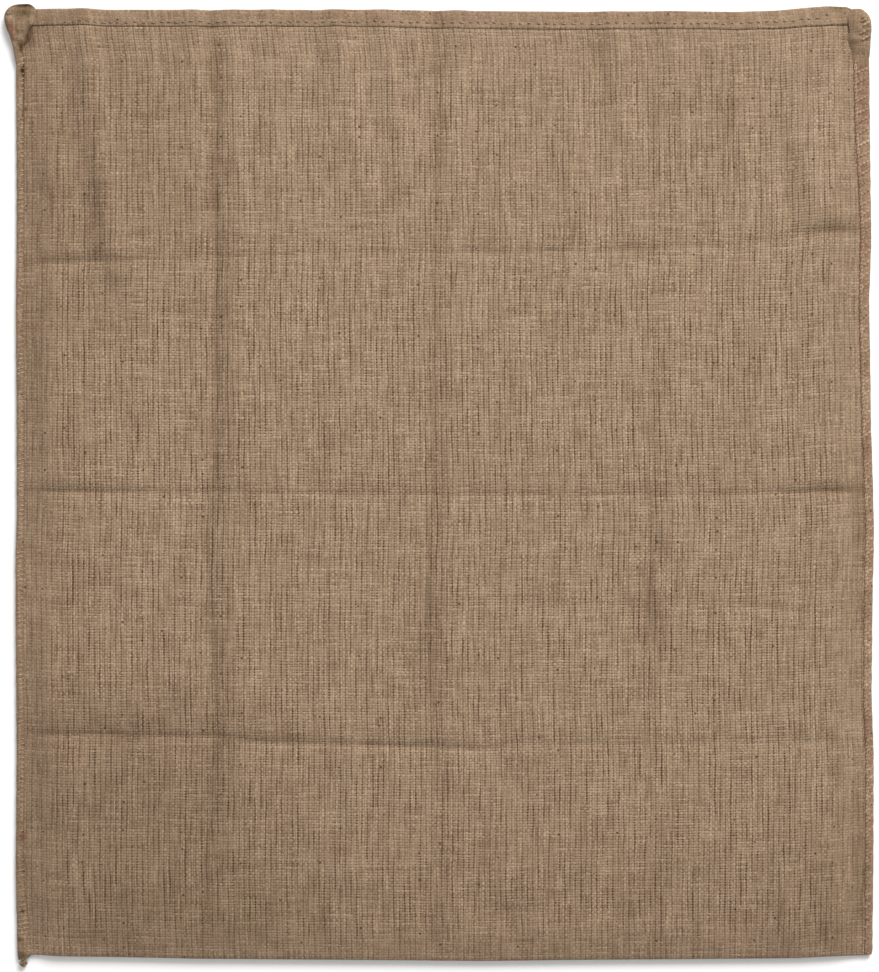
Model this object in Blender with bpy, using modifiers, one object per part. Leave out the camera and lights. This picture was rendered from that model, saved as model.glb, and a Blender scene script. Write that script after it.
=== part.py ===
"""An empty jute sack, laid out flat with its mouth towards +Y.

One length of hessian is folded up at the bottom, the hems of its mouth are turned to the
outside, and both sides are overcast with jute twine. A lashing of twine binds each mouth
corner, and the end of the sewing hangs as a knot at the left bottom corner.
The lower ply lies on z = 0. The upper ply stands a little off it, creased from storage.
"""

import math
from collections import namedtuple

import bmesh
import bpy

# Every size below is in millimetres. MM turns it to metres as a point is placed.
MM = 0.001

# The outline, at the outside of the seams.
LEFT = -468.5
RIGHT = 478.5
MOUTH = 526.0
FOLD = -524.0

# The cloth and the way its plies lie over each other.
SHEET = 1.3
CLEAR = 0.3
HEM_DEPTH = 17.5
HEM_STEP = 1.8
HEM_TURN = HEM_STEP / 2
HEM_LIFT = (487.0, 508.0)
UPPER_Z = 13.2
UPPER_LOWEST = 9.9
FOLD_Z = 7.1
FOLD_RUN = 34.0
FOLD_SEAT = 4.6
SIDE_RUN = 32.0
UNDER_RUN = 14.0
UNDER_CREASE = 0.3

# The overcast side seams, which hold the cloth's edges in a slot.
SEAM_WALL = 2.2
EDGE_PLAY = 1.4
SEAM_FLOOR = 1.8
SEAM_ROOF = 2.0
PLY_GAP = 0.8
SEAM_STEP = 38.0
SEAM_TOP = 477.7
LEFT_FLAT = 11.0
RIGHT_FLAT = 12.5
SHOULDER = 34.0

# The lashings at the mouth corners.
LASH_WALL = 2.4
LASH_FLOOR = 1.8
LASH_PITCH = 6.6
LASH_RIB = 0.55

# The mesh of the cloth, finer across the creases and ripples than between them.
WIDEST_COLUMN = 42.0
WIDEST_ROW = 66.0
WIDEST_UNDER_ROW = 240.0
LEAST_STEP = 7.0
FOLD_STEPS = 4
HEM_STEPS = 3

Line = namedtuple("Line", "home wander")
Crease = namedtuple("Crease", "home wander depth width")
Short = namedtuple("Short", "home middle half slant depth width")
Ripple = namedtuple("Ripple", "head tail reach width height")
Swell = namedtuple("Swell", "x y half_x half_y height")
Section = namedtuple("Section", "y outer reach top")

# Lines of the cloth that run from mouth to bottom. Each wander is (y, how far x strays).
LEFT_EDGE = Line(
    LEFT,
    [(-524, 1.4), (-430, -0.7), (-300, 0.3), (-150, -0.9), (-30, 0.1), (90, 0.3),
     (189, -0.8), (300, 0.0), (438, 0.3), (471, -2.0), (500, -8.0), (526, -9.4)],
)
RIGHT_EDGE = Line(
    RIGHT,
    [(-524, 1.2), (-395, 2.2), (-240, 0.6), (-45, 1.9), (70, -0.9),
     (205, -2.4), (380, -2.2), (471, -2.2), (500, -1.5), (526, -6.5)],
)
LEFT_SEAM = Line(LEFT + LEFT_FLAT, [(-524, 4.0), (-500, 0.0), (440, 0.0), (484, 21.0), (526, 26.0)])
RIGHT_SEAM = Line(
    RIGHT - RIGHT_FLAT,
    [(-524, 0.0), (140, 0.0), (300, -3.5), (400, -6.5), (440, -8.0), (484, -16.0), (526, -17.0)],
)
LEFT_RISE = Line(LEFT_SEAM.home + SHOULDER, [(430, 0.0), (526, 15.0)])
RIGHT_RISE = Line(RIGHT_SEAM.home - SHOULDER, [(430, 0.0), (526, -9.0)])

# Creases from storage, folded in four both ways. Each depth is (place along it, how deep).
DOWN = [
    Crease(
        home=-243.0,
        wander=[(-524, -9.0), (-405, -7.0), (-282, 6.0), (-190, 1.0), (-70, -4.0),
                (5, 6.0), (90, 4.0), (260, 1.0), (428, -1.0), (526, -7.0)],
        depth=[(-524, 1.2), (-300, 1.8), (-190, 2.6), (260, 3.0), (526, 2.4)],
        width=24.0,
    ),
    Crease(
        home=1.0,
        wander=[(-524, 9.0), (-325, 9.0), (-282, -2.0), (-125, -8.0), (5, -1.0), (260, -1.0), (526, 1.0)],
        depth=[(-524, 0.8), (-282, 1.4), (5, 1.8), (300, 1.6), (526, 1.9)],
        width=24.0,
    ),
    Crease(
        home=240.0,
        wander=[(-524, 0.0), (-282, -4.0), (-125, -4.0), (5, 2.0), (526, 2.0)],
        depth=[(-524, 0.5), (-282, 1.2), (-125, 1.9), (5, 1.4), (260, 0.8), (526, 1.0)],
        width=26.0,
    ),
]
ACROSS = [
    Crease(
        home=-281.0,
        wander=[(-468, 8.0), (-242, 6.0), (-205, 1.0), (-5, -5.0), (65, -8.0), (80, -1.0), (478, 2.0)],
        depth=[(-468, 2.7), (-220, 3.0), (0, 2.6), (80, 1.8), (300, 1.0), (478, 1.4)],
        width=24.0,
    ),
    Crease(
        home=-5.0,
        wander=[(-468, 1.0), (-300, 2.0), (0, -1.0), (300, -1.0), (400, 2.0), (478, 4.0)],
        depth=[(-468, 3.2), (-300, 2.2), (0, 1.9), (300, 1.9), (420, 3.0), (478, 3.0)],
        width=22.0,
    ),
    Crease(
        home=263.0,
        wander=[(-468, -10.0), (-350, -8.0), (-242, -4.0), (-65, 0.0), (156, 2.0), (300, 6.0), (478, 22.0)],
        depth=[(-468, 3.1), (-350, 2.6), (-300, 1.2), (-65, 1.7), (156, 1.6), (300, 1.2), (410, 2.4), (478, 2.8)],
        width=24.0,
    ),
]
SHORTS = [
    Short(home=-125.0, middle=145.0, half=85.0, slant=-0.02, depth=1.5, width=22.0),
    Short(home=-133.0, middle=362.0, half=80.0, slant=-0.09, depth=1.6, width=22.0),
]

# Ripples that run down from the mouth and die out, from head at the mouth to tail.
RIPPLES = [
    Ripple(head=-384, tail=-322, reach=235, width=13, height=-2.0),
    Ripple(head=-360, tail=-286, reach=250, width=15, height=2.2),
    Ripple(head=-213, tail=-211, reach=250, width=14, height=1.5),
    Ripple(head=-108, tail=-92, reach=220, width=14, height=1.0),
    Ripple(head=-42, tail=-34, reach=210, width=13, height=1.3),
    Ripple(head=32, tail=27, reach=230, width=15, height=1.5),
    Ripple(head=127, tail=128, reach=210, width=18, height=1.0),
    Ripple(head=188, tail=183, reach=160, width=12, height=-1.3),
    Ripple(head=322, tail=330, reach=220, width=13, height=-1.4),
    Ripple(head=378, tail=402, reach=240, width=12, height=-1.6),
]

# Broad forms of the upper ply.
SWELLS = [
    Swell(x=-342, y=-228, half_x=120, half_y=34, height=1.5),
    Swell(x=-436, y=327, half_x=22, half_y=60, height=-1.2),
    Swell(x=-390, y=-470, half_x=50, half_y=42, height=-1.5),
    Swell(x=-104, y=-350, half_x=20, half_y=70, height=-1.1),
    Swell(x=96, y=-405, half_x=55, half_y=60, height=1.0),
    Swell(x=278, y=-388, half_x=24, half_y=50, height=-1.1),
    Swell(x=430, y=-330, half_x=26, half_y=20, height=-1.4),
]

# The left lashing flares out past the seam. The right one is a rounded corner.
LEFT_LASH = [
    Section(y=478.0, outer=-472.6, reach=16.0, top=11.6),
    Section(y=488.0, outer=-475.2, reach=21.4, top=12.4),
    Section(y=500.0, outer=-477.4, reach=25.0, top=13.4),
    Section(y=512.0, outer=-480.6, reach=30.0, top=14.0),
    Section(y=521.0, outer=-481.4, reach=33.0, top=13.8),
    Section(y=528.0, outer=-478.8, reach=32.0, top=13.2),
    Section(y=533.4, outer=-472.6, reach=22.0, top=12.2),
]
RIGHT_LASH = [
    Section(y=478.0, outer=477.6, reach=18.0, top=11.6),
    Section(y=490.0, outer=478.2, reach=22.0, top=12.8),
    Section(y=505.0, outer=479.0, reach=25.0, top=13.9),
    Section(y=517.0, outer=478.6, reach=26.0, top=13.9),
    Section(y=525.0, outer=474.8, reach=23.5, top=13.2),
    Section(y=531.4, outer=464.0, reach=16.0, top=12.2),
]
LEFT_SEAM_REACH = [(-525, 15.0), (-520, 9.5), (-505, 8.2), (300, 8.0), (440, 9.0), (477, 13.0)]
RIGHT_SEAM_REACH = [(-522, 8.6), (0, 9.0), (140, 10.0), (300, 11.5), (400, 14.0), (477, 15.5)]

# The knot's strand: along is the way down from the seam's end, radius makes neck and ball.
Bead = namedtuple("Bead", "x y z radius")
KNOT = [
    Bead(x=-463.6, y=-525.6, z=3.6, radius=1.5),
    Bead(x=-463.0, y=-526.4, z=3.7, radius=1.5),
    Bead(x=-462.0, y=-527.2, z=4.0, radius=2.9),
    Bead(x=-460.9, y=-528.6, z=4.5, radius=4.2),
    Bead(x=-459.8, y=-530.2, z=4.6, radius=4.6),
    Bead(x=-458.9, y=-531.8, z=4.5, radius=3.9),
    Bead(x=-458.2, y=-533.0, z=4.3, radius=2.2),
]


def mix(a, b, share):
    return a + (b - a) * share


def ease(share):
    """0 to 1 with soft ends, held at both."""
    share = min(max(share, 0.0), 1.0)
    return share * share * (3.0 - 2.0 * share)


def read(table, at):
    """The value of a table of (place, value) at a place, held past both ends."""
    if at <= table[0][0]:
        return table[0][1]
    for (start, low), (end, high) in zip(table, table[1:]):
        if at <= end:
            return mix(low, high, (at - start) / (end - start))
    return table[-1][1]


def carried(lines, home, at):
    """How far the thread at home is carried by the lines on either side of it."""
    if home <= lines[0].home:
        return read(lines[0].wander, at)
    for low, high in zip(lines, lines[1:]):
        if home <= high.home:
            share = (home - low.home) / (high.home - low.home)
            return mix(read(low.wander, at), read(high.wander, at), share)
    return read(lines[-1].wander, at)


LEFT_CLOTH = LEFT_EDGE._replace(home=LEFT + SEAM_WALL + EDGE_PLAY)
RIGHT_CLOTH = RIGHT_EDGE._replace(home=RIGHT - SEAM_WALL - EDGE_PLAY)
BOTTOM_LINE = Line(FOLD, [(-468, 4.0), (-420, 2.6), (-350, 1.6), (-260, 0.0), (-70, -1.2),
                          (45, -2.2), (145, -1.2), (290, 0.0), (400, 2.0), (478, 5.0)])
MOUTH_LINE = Line(MOUTH, [(-468, -2.0), (-446, 2.4), (-415, 2.0), (-380, 0.9), (-60, 0.9), (12, -0.3),
                          (180, -1.4), (245, -0.3), (330, -1.4), (380, -0.3), (411, 2.0), (445, 3.6), (478, -3.0)])
COLUMN_LINES = [LEFT_CLOTH, LEFT_SEAM, LEFT_RISE, *DOWN, RIGHT_RISE, RIGHT_SEAM, RIGHT_CLOTH]
ROW_LINES = [BOTTOM_LINE, *ACROSS, MOUTH_LINE]


def lying_at(x, y):
    """Where the thread crossing x, y of the cloth lies on the plane."""
    return x + carried(COLUMN_LINES, x, y), y + carried(ROW_LINES, y, x)


def fold_form(off, width):
    """A crease's section: 1 along its line, falling to 0 where it has reached its width."""
    return max(0.0, 1.0 - abs(off) / width) ** 2


def creases(x, y):
    """How deep the storage creases are at a place. They are never deeper than the deepest there."""
    down = [read(crease.depth, y) * fold_form(x - crease.home, crease.width) for crease in DOWN]
    across = [read(crease.depth, x) * fold_form(y - crease.home, crease.width) for crease in ACROSS]
    return max(down) + max(across)


def relief(x, y):
    """Creases, ripples and broad forms of the upper ply."""
    height = -creases(x, y)
    for short in SHORTS:
        off = y - short.home - short.slant * (x - short.middle)
        fade = ease(1.5 - abs(x - short.middle) / short.half)
        height -= short.depth * fade * fold_form(off, short.width)
    for ripple in RIPPLES:
        down = (MOUTH - y) / ripple.reach
        off = (x - mix(ripple.head, ripple.tail, down)) / ripple.width
        height += ripple.height * ease(1.25 - down) * math.exp(-off * off)
    for swell in SWELLS:
        off = ((x - swell.x) / swell.half_x) ** 2 + ((y - swell.y) / swell.half_y) ** 2
        height += swell.height * math.exp(-off)
    return height


def hem_share(y):
    """0 below the hem, 1 where its plies lie on each other."""
    return ease((y - HEM_LIFT[0]) / (HEM_LIFT[1] - HEM_LIFT[0]))


def in_from_side(x, run):
    """0 in the seam's slot, 1 where the ply lies free of it."""
    return ease(min(x - LEFT_SEAM.home, RIGHT_SEAM.home - x) / run)


def under_z(x, y):
    """The middle of the lower ply above the floor."""
    held = SEAM_FLOOR + CLEAR + SHEET / 2 + 2.0 * hem_share(y)
    lying = SHEET / 2 + HEM_STEP * hem_share(y) + UNDER_CREASE * creases(x, y)
    return mix(held, lying, in_from_side(x, UNDER_RUN))


def upper_z(x, y):
    """The middle of the upper ply above the floor."""
    held = SEAM_FLOOR + CLEAR + 1.5 * SHEET + PLY_GAP + 2.0 * hem_share(y)
    free = max(UPPER_Z + relief(x, y), UPPER_LOWEST)
    free = mix(FOLD_Z, free, ease((y - FOLD) / FOLD_RUN))
    return mix(held, free, in_from_side(x, SIDE_RUN))


def flat_row(y, height):
    """A row of the cloth where it lies flat, as a function of x."""

    def place(x):
        across, along = lying_at(x, y)
        return across, along, height(x, y)

    return place


def mouth_turn(angle, height, side):
    """A row of the hem's turn. side is 1 where the hem is turned up and -1 where it is turned down."""

    def place(x):
        across, along = lying_at(x, MOUTH)
        along += HEM_TURN * math.cos(angle) - HEM_TURN - SHEET / 2
        return across, along, height(x, MOUTH) + side * HEM_TURN * (1 + math.sin(angle))

    return place


def bottom_turn(angle):
    """A row of the bottom fold, from the lower ply at -90 degrees to the upper ply at 90."""

    def place(x):
        low, high = under_z(x, FOLD), upper_z(x, FOLD)
        turn = (high - low) / 2
        across, along = lying_at(x, FOLD)
        along += SHEET / 2 + turn * (1 - math.cos(angle))
        return across, along, low + turn * (1 + math.sin(angle))

    return place


def stations(fixed, widest):
    """The fixed places that are not too near each other, with even steps between them."""
    kept = []
    for place in sorted(fixed):
        if not kept or place - kept[-1] > LEAST_STEP:
            kept.append(place)
    found = kept[:1]
    for start, end in zip(kept, kept[1:]):
        steps = math.ceil((end - start) / widest)
        found += [mix(start, end, n / steps) for n in range(1, steps + 1)]
    return found


def turn_angles(steps):
    return [math.pi * (n / steps - 0.5) for n in range(steps + 1)]


def cloth_columns():
    edges = [LEFT_CLOTH.home, LEFT_SEAM.home, RIGHT_SEAM.home, RIGHT_CLOTH.home]
    shoulders = [LEFT_SEAM.home + n * SHOULDER / 3 for n in (1, 2, 3)]
    shoulders += [RIGHT_SEAM.home - n * SHOULDER / 3 for n in (1, 2, 3)]
    folds = [crease.home + n * crease.width for crease in DOWN for n in (-0.6, 0, 0.6)]
    ripples = [mix(ripple.head, ripple.tail, 0.4) for ripple in RIPPLES]
    return stations([*edges, *shoulders, *folds, *ripples], WIDEST_COLUMN)


def cloth_rows():
    """Rows from the edge of the lower hem, under the sack, to the edge of the upper one."""
    hem_ys = [MOUTH - HEM_DEPTH / 2, MOUTH - HEM_DEPTH]
    upper_creases = [crease.home + n * crease.width for crease in ACROSS for n in (-0.6, 0, 0.6)]
    under_creases = [crease.home + n * crease.width for crease in ACROSS for n in (-1, 0, 1)]
    bottom = [FOLD + FOLD_SEAT, FOLD + FOLD_RUN * 0.4, FOLD + FOLD_RUN * 0.7, FOLD + FOLD_RUN]
    below_hem = [HEM_LIFT[0] - 49.0, HEM_LIFT[0] - 15.0, HEM_LIFT[0], mix(*HEM_LIFT, 0.5)]
    shorts = [short.home + n * short.width for short in SHORTS[:1] for n in (-0.6, 0)]
    under = stations([bottom[0], bottom[2], *under_creases, *below_hem], WIDEST_UNDER_ROW)
    upper = stations([*bottom, *upper_creases, *shorts, *below_hem], WIDEST_ROW)

    rows = [flat_row(y, lambda x, at: under_z(x, at) - HEM_STEP) for y in reversed(hem_ys)]
    rows += [mouth_turn(a, under_z, -1) for a in reversed(turn_angles(HEM_STEPS))]
    rows += [flat_row(y, under_z) for y in hem_ys]
    rows += [flat_row(y, under_z) for y in reversed(under)]
    rows += [bottom_turn(a) for a in turn_angles(FOLD_STEPS)]
    rows += [flat_row(y, upper_z) for y in upper]
    rows += [flat_row(y, upper_z) for y in reversed(hem_ys)]
    rows += [mouth_turn(a, upper_z, 1) for a in turn_angles(HEM_STEPS)]
    rows += [flat_row(y, lambda x, at: upper_z(x, at) + HEM_STEP) for y in hem_ys]
    return rows


def material(name, colour, roughness):
    made = bpy.data.materials.new(name)
    made.use_nodes = True
    shader = made.node_tree.nodes["Principled BSDF"]
    shader.inputs["Base Color"].default_value = (*colour, 1.0)
    shader.inputs["Roughness"].default_value = roughness
    shader.inputs["Metallic"].default_value = 0.0
    return made


def add(name, mesh, finish, collection):
    mesh.materials.append(finish)
    piece = bpy.data.objects.new(name, mesh)
    collection.objects.link(piece)
    return piece


def sack_cloth(finish, collection):
    """The whole cloth as one grid, laid along its rows and thickened by Solidify."""
    columns, rows = cloth_columns(), cloth_rows()
    bm = bmesh.new()
    bmesh.ops.create_grid(bm, x_segments=len(columns) - 1, y_segments=len(rows) - 1, size=0.5)
    for vert in bm.verts:
        column = round((vert.co.x + 0.5) * (len(columns) - 1))
        row = round((vert.co.y + 0.5) * (len(rows) - 1))
        vert.co = [size * MM for size in rows[row](columns[column])]
    mesh = bpy.data.meshes.new("sack_cloth")
    bm.to_mesh(mesh)
    bm.free()
    mesh.shade_smooth()
    piece = add("sack_cloth", mesh, finish, collection)
    shell = piece.modifiers.new("thickness", "SOLIDIFY")
    shell.thickness = SHEET * MM
    shell.offset = 0.0
    shell.use_even_offset = True
    return piece


def slotted(side, y, outer, reach, top, wall, slot):
    """A section like a C that holds the cloth's edge: side is -1 at the left and 1 at the right."""
    low, high = slot
    inward = [
        (reach, high + 0.7), (0.7 * reach, top), (0.25 * reach, top), (0.0, mix(high, top, 0.4)),
        (0.0, 0.6 * low), (0.12 * reach, 0.0), (0.85 * reach, 0.0), (reach, 0.5 * low),
        (reach, low), (wall, low), (wall, high), (reach, high),
    ]
    return [(outer - side * inset, y, z) for inset, z in inward]


def loft(name, sections, finish, collection):
    """A solid through closed sections of equal counts, with a flat cap at each end."""
    bm = bmesh.new()
    rings = [[bm.verts.new([size * MM for size in point]) for point in section] for section in sections]
    for ring, ahead in zip(rings, rings[1:]):
        for n in range(len(ring)):
            after = (n + 1) % len(ring)
            bm.faces.new((ring[n], ring[after], ahead[after], ahead[n]))
    bm.faces.new(rings[0])
    bm.faces.new(rings[-1])
    bmesh.ops.recalc_face_normals(bm, faces=bm.faces)
    mesh = bpy.data.meshes.new(name)
    bm.to_mesh(mesh)
    bm.free()
    return add(name, mesh, finish, collection)


def seam(name, side, edge, reaches, finish, collection):
    """The overcast twine down one side, uneven from stitch to stitch."""
    slot = (SEAM_FLOOR, SEAM_FLOOR + 2 * CLEAR + 2 * SHEET + PLY_GAP)
    bottom, top = reaches[0][0], SEAM_TOP
    steps = math.ceil((top - bottom) / SEAM_STEP)
    ys = [mix(bottom, top, n / steps) for n in range(steps + 1)]
    ys += [reaches[1][0]]
    sections = []
    for y in sorted(ys):
        uneven = math.sin(0.11 * y) + math.sin(0.047 * y + 1.0)
        outer = edge.home + read(edge.wander, y)
        reach = read(reaches, y) + 0.35 * uneven
        sections.append(slotted(side, y, outer, reach, slot[1] + SEAM_ROOF + 0.2 * uneven, SEAM_WALL, slot))
    return loft(name, sections, finish, collection)


def lashing(name, side, rows, finish, collection):
    """The twine wound round a mouth corner, as a ribbed lump that grips the hem's plies."""
    slot = (LASH_FLOOR, LASH_FLOOR + 3 * CLEAR + 4 * SHEET + PLY_GAP + 2 * (HEM_STEP - SHEET))
    ys = [row.y for row in rows]
    steps = round((ys[-1] - ys[0]) / (LASH_PITCH / 2))
    sections = []
    for n in range(steps + 1):
        y = mix(ys[0], ys[-1], n / steps)
        outer = read([(row.y, row.outer) for row in rows], y)
        reach = read([(row.y, row.reach) for row in rows], y)
        top = read([(row.y, row.top) for row in rows], y)
        rib = LASH_RIB if n % 2 else -LASH_RIB
        sections.append(slotted(side, y, outer + side * rib / 2, reach, top + rib, LASH_WALL, slot))
    return loft(name, sections, finish, collection)


def twine_knot(finish, collection):
    """The knotted end of the sewing, as one strand that swells into a ball."""
    curve = bpy.data.curves.new("twine_knot", "CURVE")
    curve.dimensions = "3D"
    curve.bevel_depth = MM
    curve.bevel_resolution = 3
    curve.use_fill_caps = True
    strand = curve.splines.new("POLY")
    strand.points.add(len(KNOT) - 1)
    for point, bead in zip(strand.points, KNOT):
        point.co = (bead.x * MM, bead.y * MM, bead.z * MM, 1.0)
        point.radius = bead.radius
    curve.materials.append(finish)
    piece = bpy.data.objects.new("twine_knot", curve)
    collection.objects.link(piece)
    return piece


def main():
    for piece in list(bpy.data.objects):
        bpy.data.objects.remove(piece)
    collection = bpy.data.collections.new("jute_sack")
    bpy.context.scene.collection.children.link(collection)
    hessian = material("hessian", (0.305, 0.212, 0.137), 0.95)
    twine = material("jute_twine", (0.330, 0.225, 0.140), 0.9)
    sack_cloth(hessian, collection)
    seam("seam_left", -1, LEFT_EDGE, LEFT_SEAM_REACH, twine, collection)
    seam("seam_right", 1, RIGHT_EDGE, RIGHT_SEAM_REACH, twine, collection)
    lashing("lashing_left", -1, LEFT_LASH, twine, collection)
    lashing("lashing_right", 1, RIGHT_LASH, twine, collection)
    twine_knot(twine, collection)


main()
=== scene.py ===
# %% [markdown]
# # An empty jute sack, laid out flat
# A sack is one length of hessian, folded up at the bottom and sewn down both sides. Here it
# lies with its mouth away from the reader, still creased from being stored folded in four
# both ways. The solids that give it its size are loaded first. Each piece is then drawn
# around them at its real size, so nothing has to be fitted afterwards.

# %% The frame
import math
import random
from collections import namedtuple

import bpy
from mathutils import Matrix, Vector, noise


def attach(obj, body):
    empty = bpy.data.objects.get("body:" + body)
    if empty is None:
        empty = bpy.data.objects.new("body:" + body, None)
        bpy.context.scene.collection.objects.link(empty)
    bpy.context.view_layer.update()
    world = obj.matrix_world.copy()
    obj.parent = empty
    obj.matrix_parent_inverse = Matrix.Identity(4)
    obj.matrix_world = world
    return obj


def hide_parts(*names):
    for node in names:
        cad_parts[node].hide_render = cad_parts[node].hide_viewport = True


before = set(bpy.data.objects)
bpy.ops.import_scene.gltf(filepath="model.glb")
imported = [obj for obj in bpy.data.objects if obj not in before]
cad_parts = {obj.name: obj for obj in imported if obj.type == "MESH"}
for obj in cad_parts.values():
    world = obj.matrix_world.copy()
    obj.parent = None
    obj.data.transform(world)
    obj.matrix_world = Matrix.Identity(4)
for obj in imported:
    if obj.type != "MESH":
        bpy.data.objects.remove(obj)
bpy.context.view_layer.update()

BODY = "root"
MM = 0.001

# %% [markdown]
# ## Camera, floor and light
# A sack that lies on the floor is best seen square-on from above, with a long lens so that its
# sides stay parallel. A large soft light stands low behind the mouth: light that comes in at a
# slant shows every crease and thread, which light from straight above would flatten. The plain
# world light fills what it leaves dark.

# %% Camera
LENS_MM = 85.0
SENSOR_MM = 36.0
FRAME_HEIGHT = 1.0765
AIM = Vector((0.0008, -0.0003, 0.012))

eye = bpy.data.cameras.new("overhead_camera")
eye.lens = LENS_MM
eye.sensor_width = SENSOR_MM
camera = bpy.data.objects.new("overhead_camera", eye)
camera.location = AIM + Vector((0, 0, FRAME_HEIGHT * LENS_MM / SENSOR_MM))
bpy.context.scene.collection.objects.link(camera)
bpy.context.scene.camera = camera
print("camera height, m:", round(camera.location.z, 3))

# %% Colours and nodes
def linear(code):
    """An sRGB hex colour as the linear colour that a shader works with."""
    shares = [int(code[n:n + 2], 16) / 255 for n in (1, 3, 5)]
    return (*[s / 12.92 if s <= 0.04045 else ((s + 0.055) / 1.055) ** 2.4 for s in shares], 1.0)


def add_node(tree, kind, inputs=(), **settings):
    """Adds a node with its settings and links. Inputs come in order, or by name in a dictionary:
    a node or a socket is linked, a number or colour is set, and None is left as it is."""
    made = tree.nodes.new("ShaderNode" + kind)
    for name, value in settings.items():
        setattr(made, name, value)
    open_sockets = [socket for socket in made.inputs if socket.enabled]
    if isinstance(inputs, dict):
        pairs = [(next(s for s in open_sockets if s.name == name), given) for name, given in inputs.items()]
    else:
        pairs = list(zip(open_sockets, inputs))
    for socket, given in pairs:
        if isinstance(given, bpy.types.Node):
            given = next(s for s in given.outputs if s.enabled)
        if isinstance(given, bpy.types.NodeSocket):
            tree.links.new(given, socket)
        elif given is not None:
            socket.default_value = given
    return made


def new_material(name):
    """A material with one Principled shader. Returns the material, its nodes and the shader."""
    made = bpy.data.materials.new(name)
    made.use_nodes = True
    return made, made.node_tree, made.node_tree.nodes["Principled BSDF"]


print("mid grey as linear light:", round(linear("#808080")[0], 3))

# %% Floor
FLOOR_HALF = 4.0
floor_paint, _, paint_shader = new_material("matt_white_board")
paint_shader.inputs["Base Color"].default_value = linear("#F6F6F5")
paint_shader.inputs["Roughness"].default_value = 0.9
board = bpy.data.meshes.new("studio_floor")
corners = [(-1, -1), (1, -1), (1, 1), (-1, 1)]
board.from_pydata([(x * FLOOR_HALF, y * FLOOR_HALF, -0.3 * MM) for x, y in corners], [], [(0, 1, 2, 3)])
board.materials.append(floor_paint)
floor = bpy.data.objects.new("studio_floor", board)
bpy.context.scene.collection.objects.link(floor)
print("floor:", 2 * FLOOR_HALF, "m wide")

# %% Light
FILL_STRENGTH = 0.6
KEY_WATTS = 520.0
KEY_SIZE = 3.2
KEY_DISTANCE = 6.5
KEY_FROM = Vector((0.31, 0.72, 0.62)).normalized()

world = bpy.data.worlds.new("studio_fill")
world.use_nodes = True
world.node_tree.nodes["Background"].inputs["Color"].default_value = (1.0, 1.0, 1.0, 1.0)
world.node_tree.nodes["Background"].inputs["Strength"].default_value = FILL_STRENGTH
bpy.context.scene.world = world

lamp = bpy.data.lights.new("soft_key", "AREA")
lamp.energy = KEY_WATTS
lamp.size = KEY_SIZE
key = bpy.data.objects.new("soft_key", lamp)
key.location = KEY_FROM * KEY_DISTANCE
key.rotation_euler = KEY_FROM.to_track_quat("Z", "Y").to_euler()
bpy.context.scene.collection.objects.link(key)
bpy.context.scene.view_settings.view_transform = "Standard"
print("key light:", KEY_WATTS, "W,", round(math.degrees(math.asin(KEY_FROM.z))), "degrees above the floor")

# %% [markdown]
# ## How the cloth lies
# The cloth is worked out as a rule and not drawn point by point. A thread crossing of the flat
# cloth has a home; tables of named lines say how far it strays from there, and more tables say
# how high it lies: creases from storage, ripples that run down from the mouth, broad swells.
# All sizes are in millimetres until a point is placed.

# %% Sizes of the sack
LEFT, RIGHT, MOUTH, FOLD = -468.5, 478.5, 526.0, -524.0
SHEET = 1.3
CLEAR = 0.3
HEM_DEPTH = 17.5
HEM_STEP = 1.8
HEM_LIFT = (487.0, 508.0)
HEM_RISE = 2.0
HEM_PRESS, HEM_PRESS_RUN = 1.05, 1.1
HEM_EDGE = [(-468, 0.0), (-100, 1.0), (0, 2.2), (300, 2.6), (400, 4.6), (435, 6.0), (478, 3.0)]
UPPER_Z = 13.2
UPPER_LOWEST = 9.9
FOLD_Z, FOLD_RUN = 9.4, 36.0
SIDE_RUN, UNDER_RUN = 32.0, 14.0
UNDER_CREASE = 0.3
SEAM_WALL, EDGE_PLAY = 2.2, 1.4
SEAM_FLOOR, PLY_GAP = 1.8, 0.8
LEFT_FLAT, RIGHT_FLAT = 11.0, 12.5
SHOULDER = 34.0

Line = namedtuple("Line", "home wander")
Crease = namedtuple("Crease", "home wander depth width")
Short = namedtuple("Short", "home middle half slant depth width")
Ridge = namedtuple("Ridge", "start end width height")
Swell = namedtuple("Swell", "x y half_x half_y height")


def rows_of(kind, *rows):
    """A table of rows whose columns have the names of the kind."""
    return [kind(*row) for row in rows]


print("outline, mm:", RIGHT - LEFT, "by", MOUTH - FOLD)

# %% Lines of the cloth, as (place along it, how far it strays)
LEFT_EDGE = Line(
    LEFT,
    [(-524, 0.6), (-430, -1.6), (-300, -0.5), (-150, -1.6), (-82, -1.7), (-30, -0.4), (90, -0.6),
     (189, -1.4), (300, -0.4), (361, -0.6), (427, -1.0), (471, -1.2), (500, -6.0), (526, -9.4)],
)
RIGHT_EDGE = Line(
    RIGHT,
    [(-524, 3.2), (-395, 4.6), (-300, 4.8), (-240, 2.6), (-149, 3.2), (-45, 5.2), (70, 1.8), (139, 0.9),
     (205, -0.1), (272, 2.2), (340, 1.3), (427, 0.3), (471, -0.1), (500, 0.0), (526, -5.0)],
)
LEFT_SEAM = Line(
    LEFT + LEFT_FLAT,
    [(-524, 6.0), (-492, 2.7), (-459, -1.3), (-430, -3.2), (-300, -2.6), (-150, -3.8), (-82, -4.0),
     (-30, -2.7), (90, -3.0), (189, -3.9), (300, -3.0), (361, -3.5), (427, -3.8), (471, -3.3),
     (488, -5.0), (494, 0.5), (502, 3.0), (508, 3.6), (514, 8.0), (526, 12.0)],
)
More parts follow.
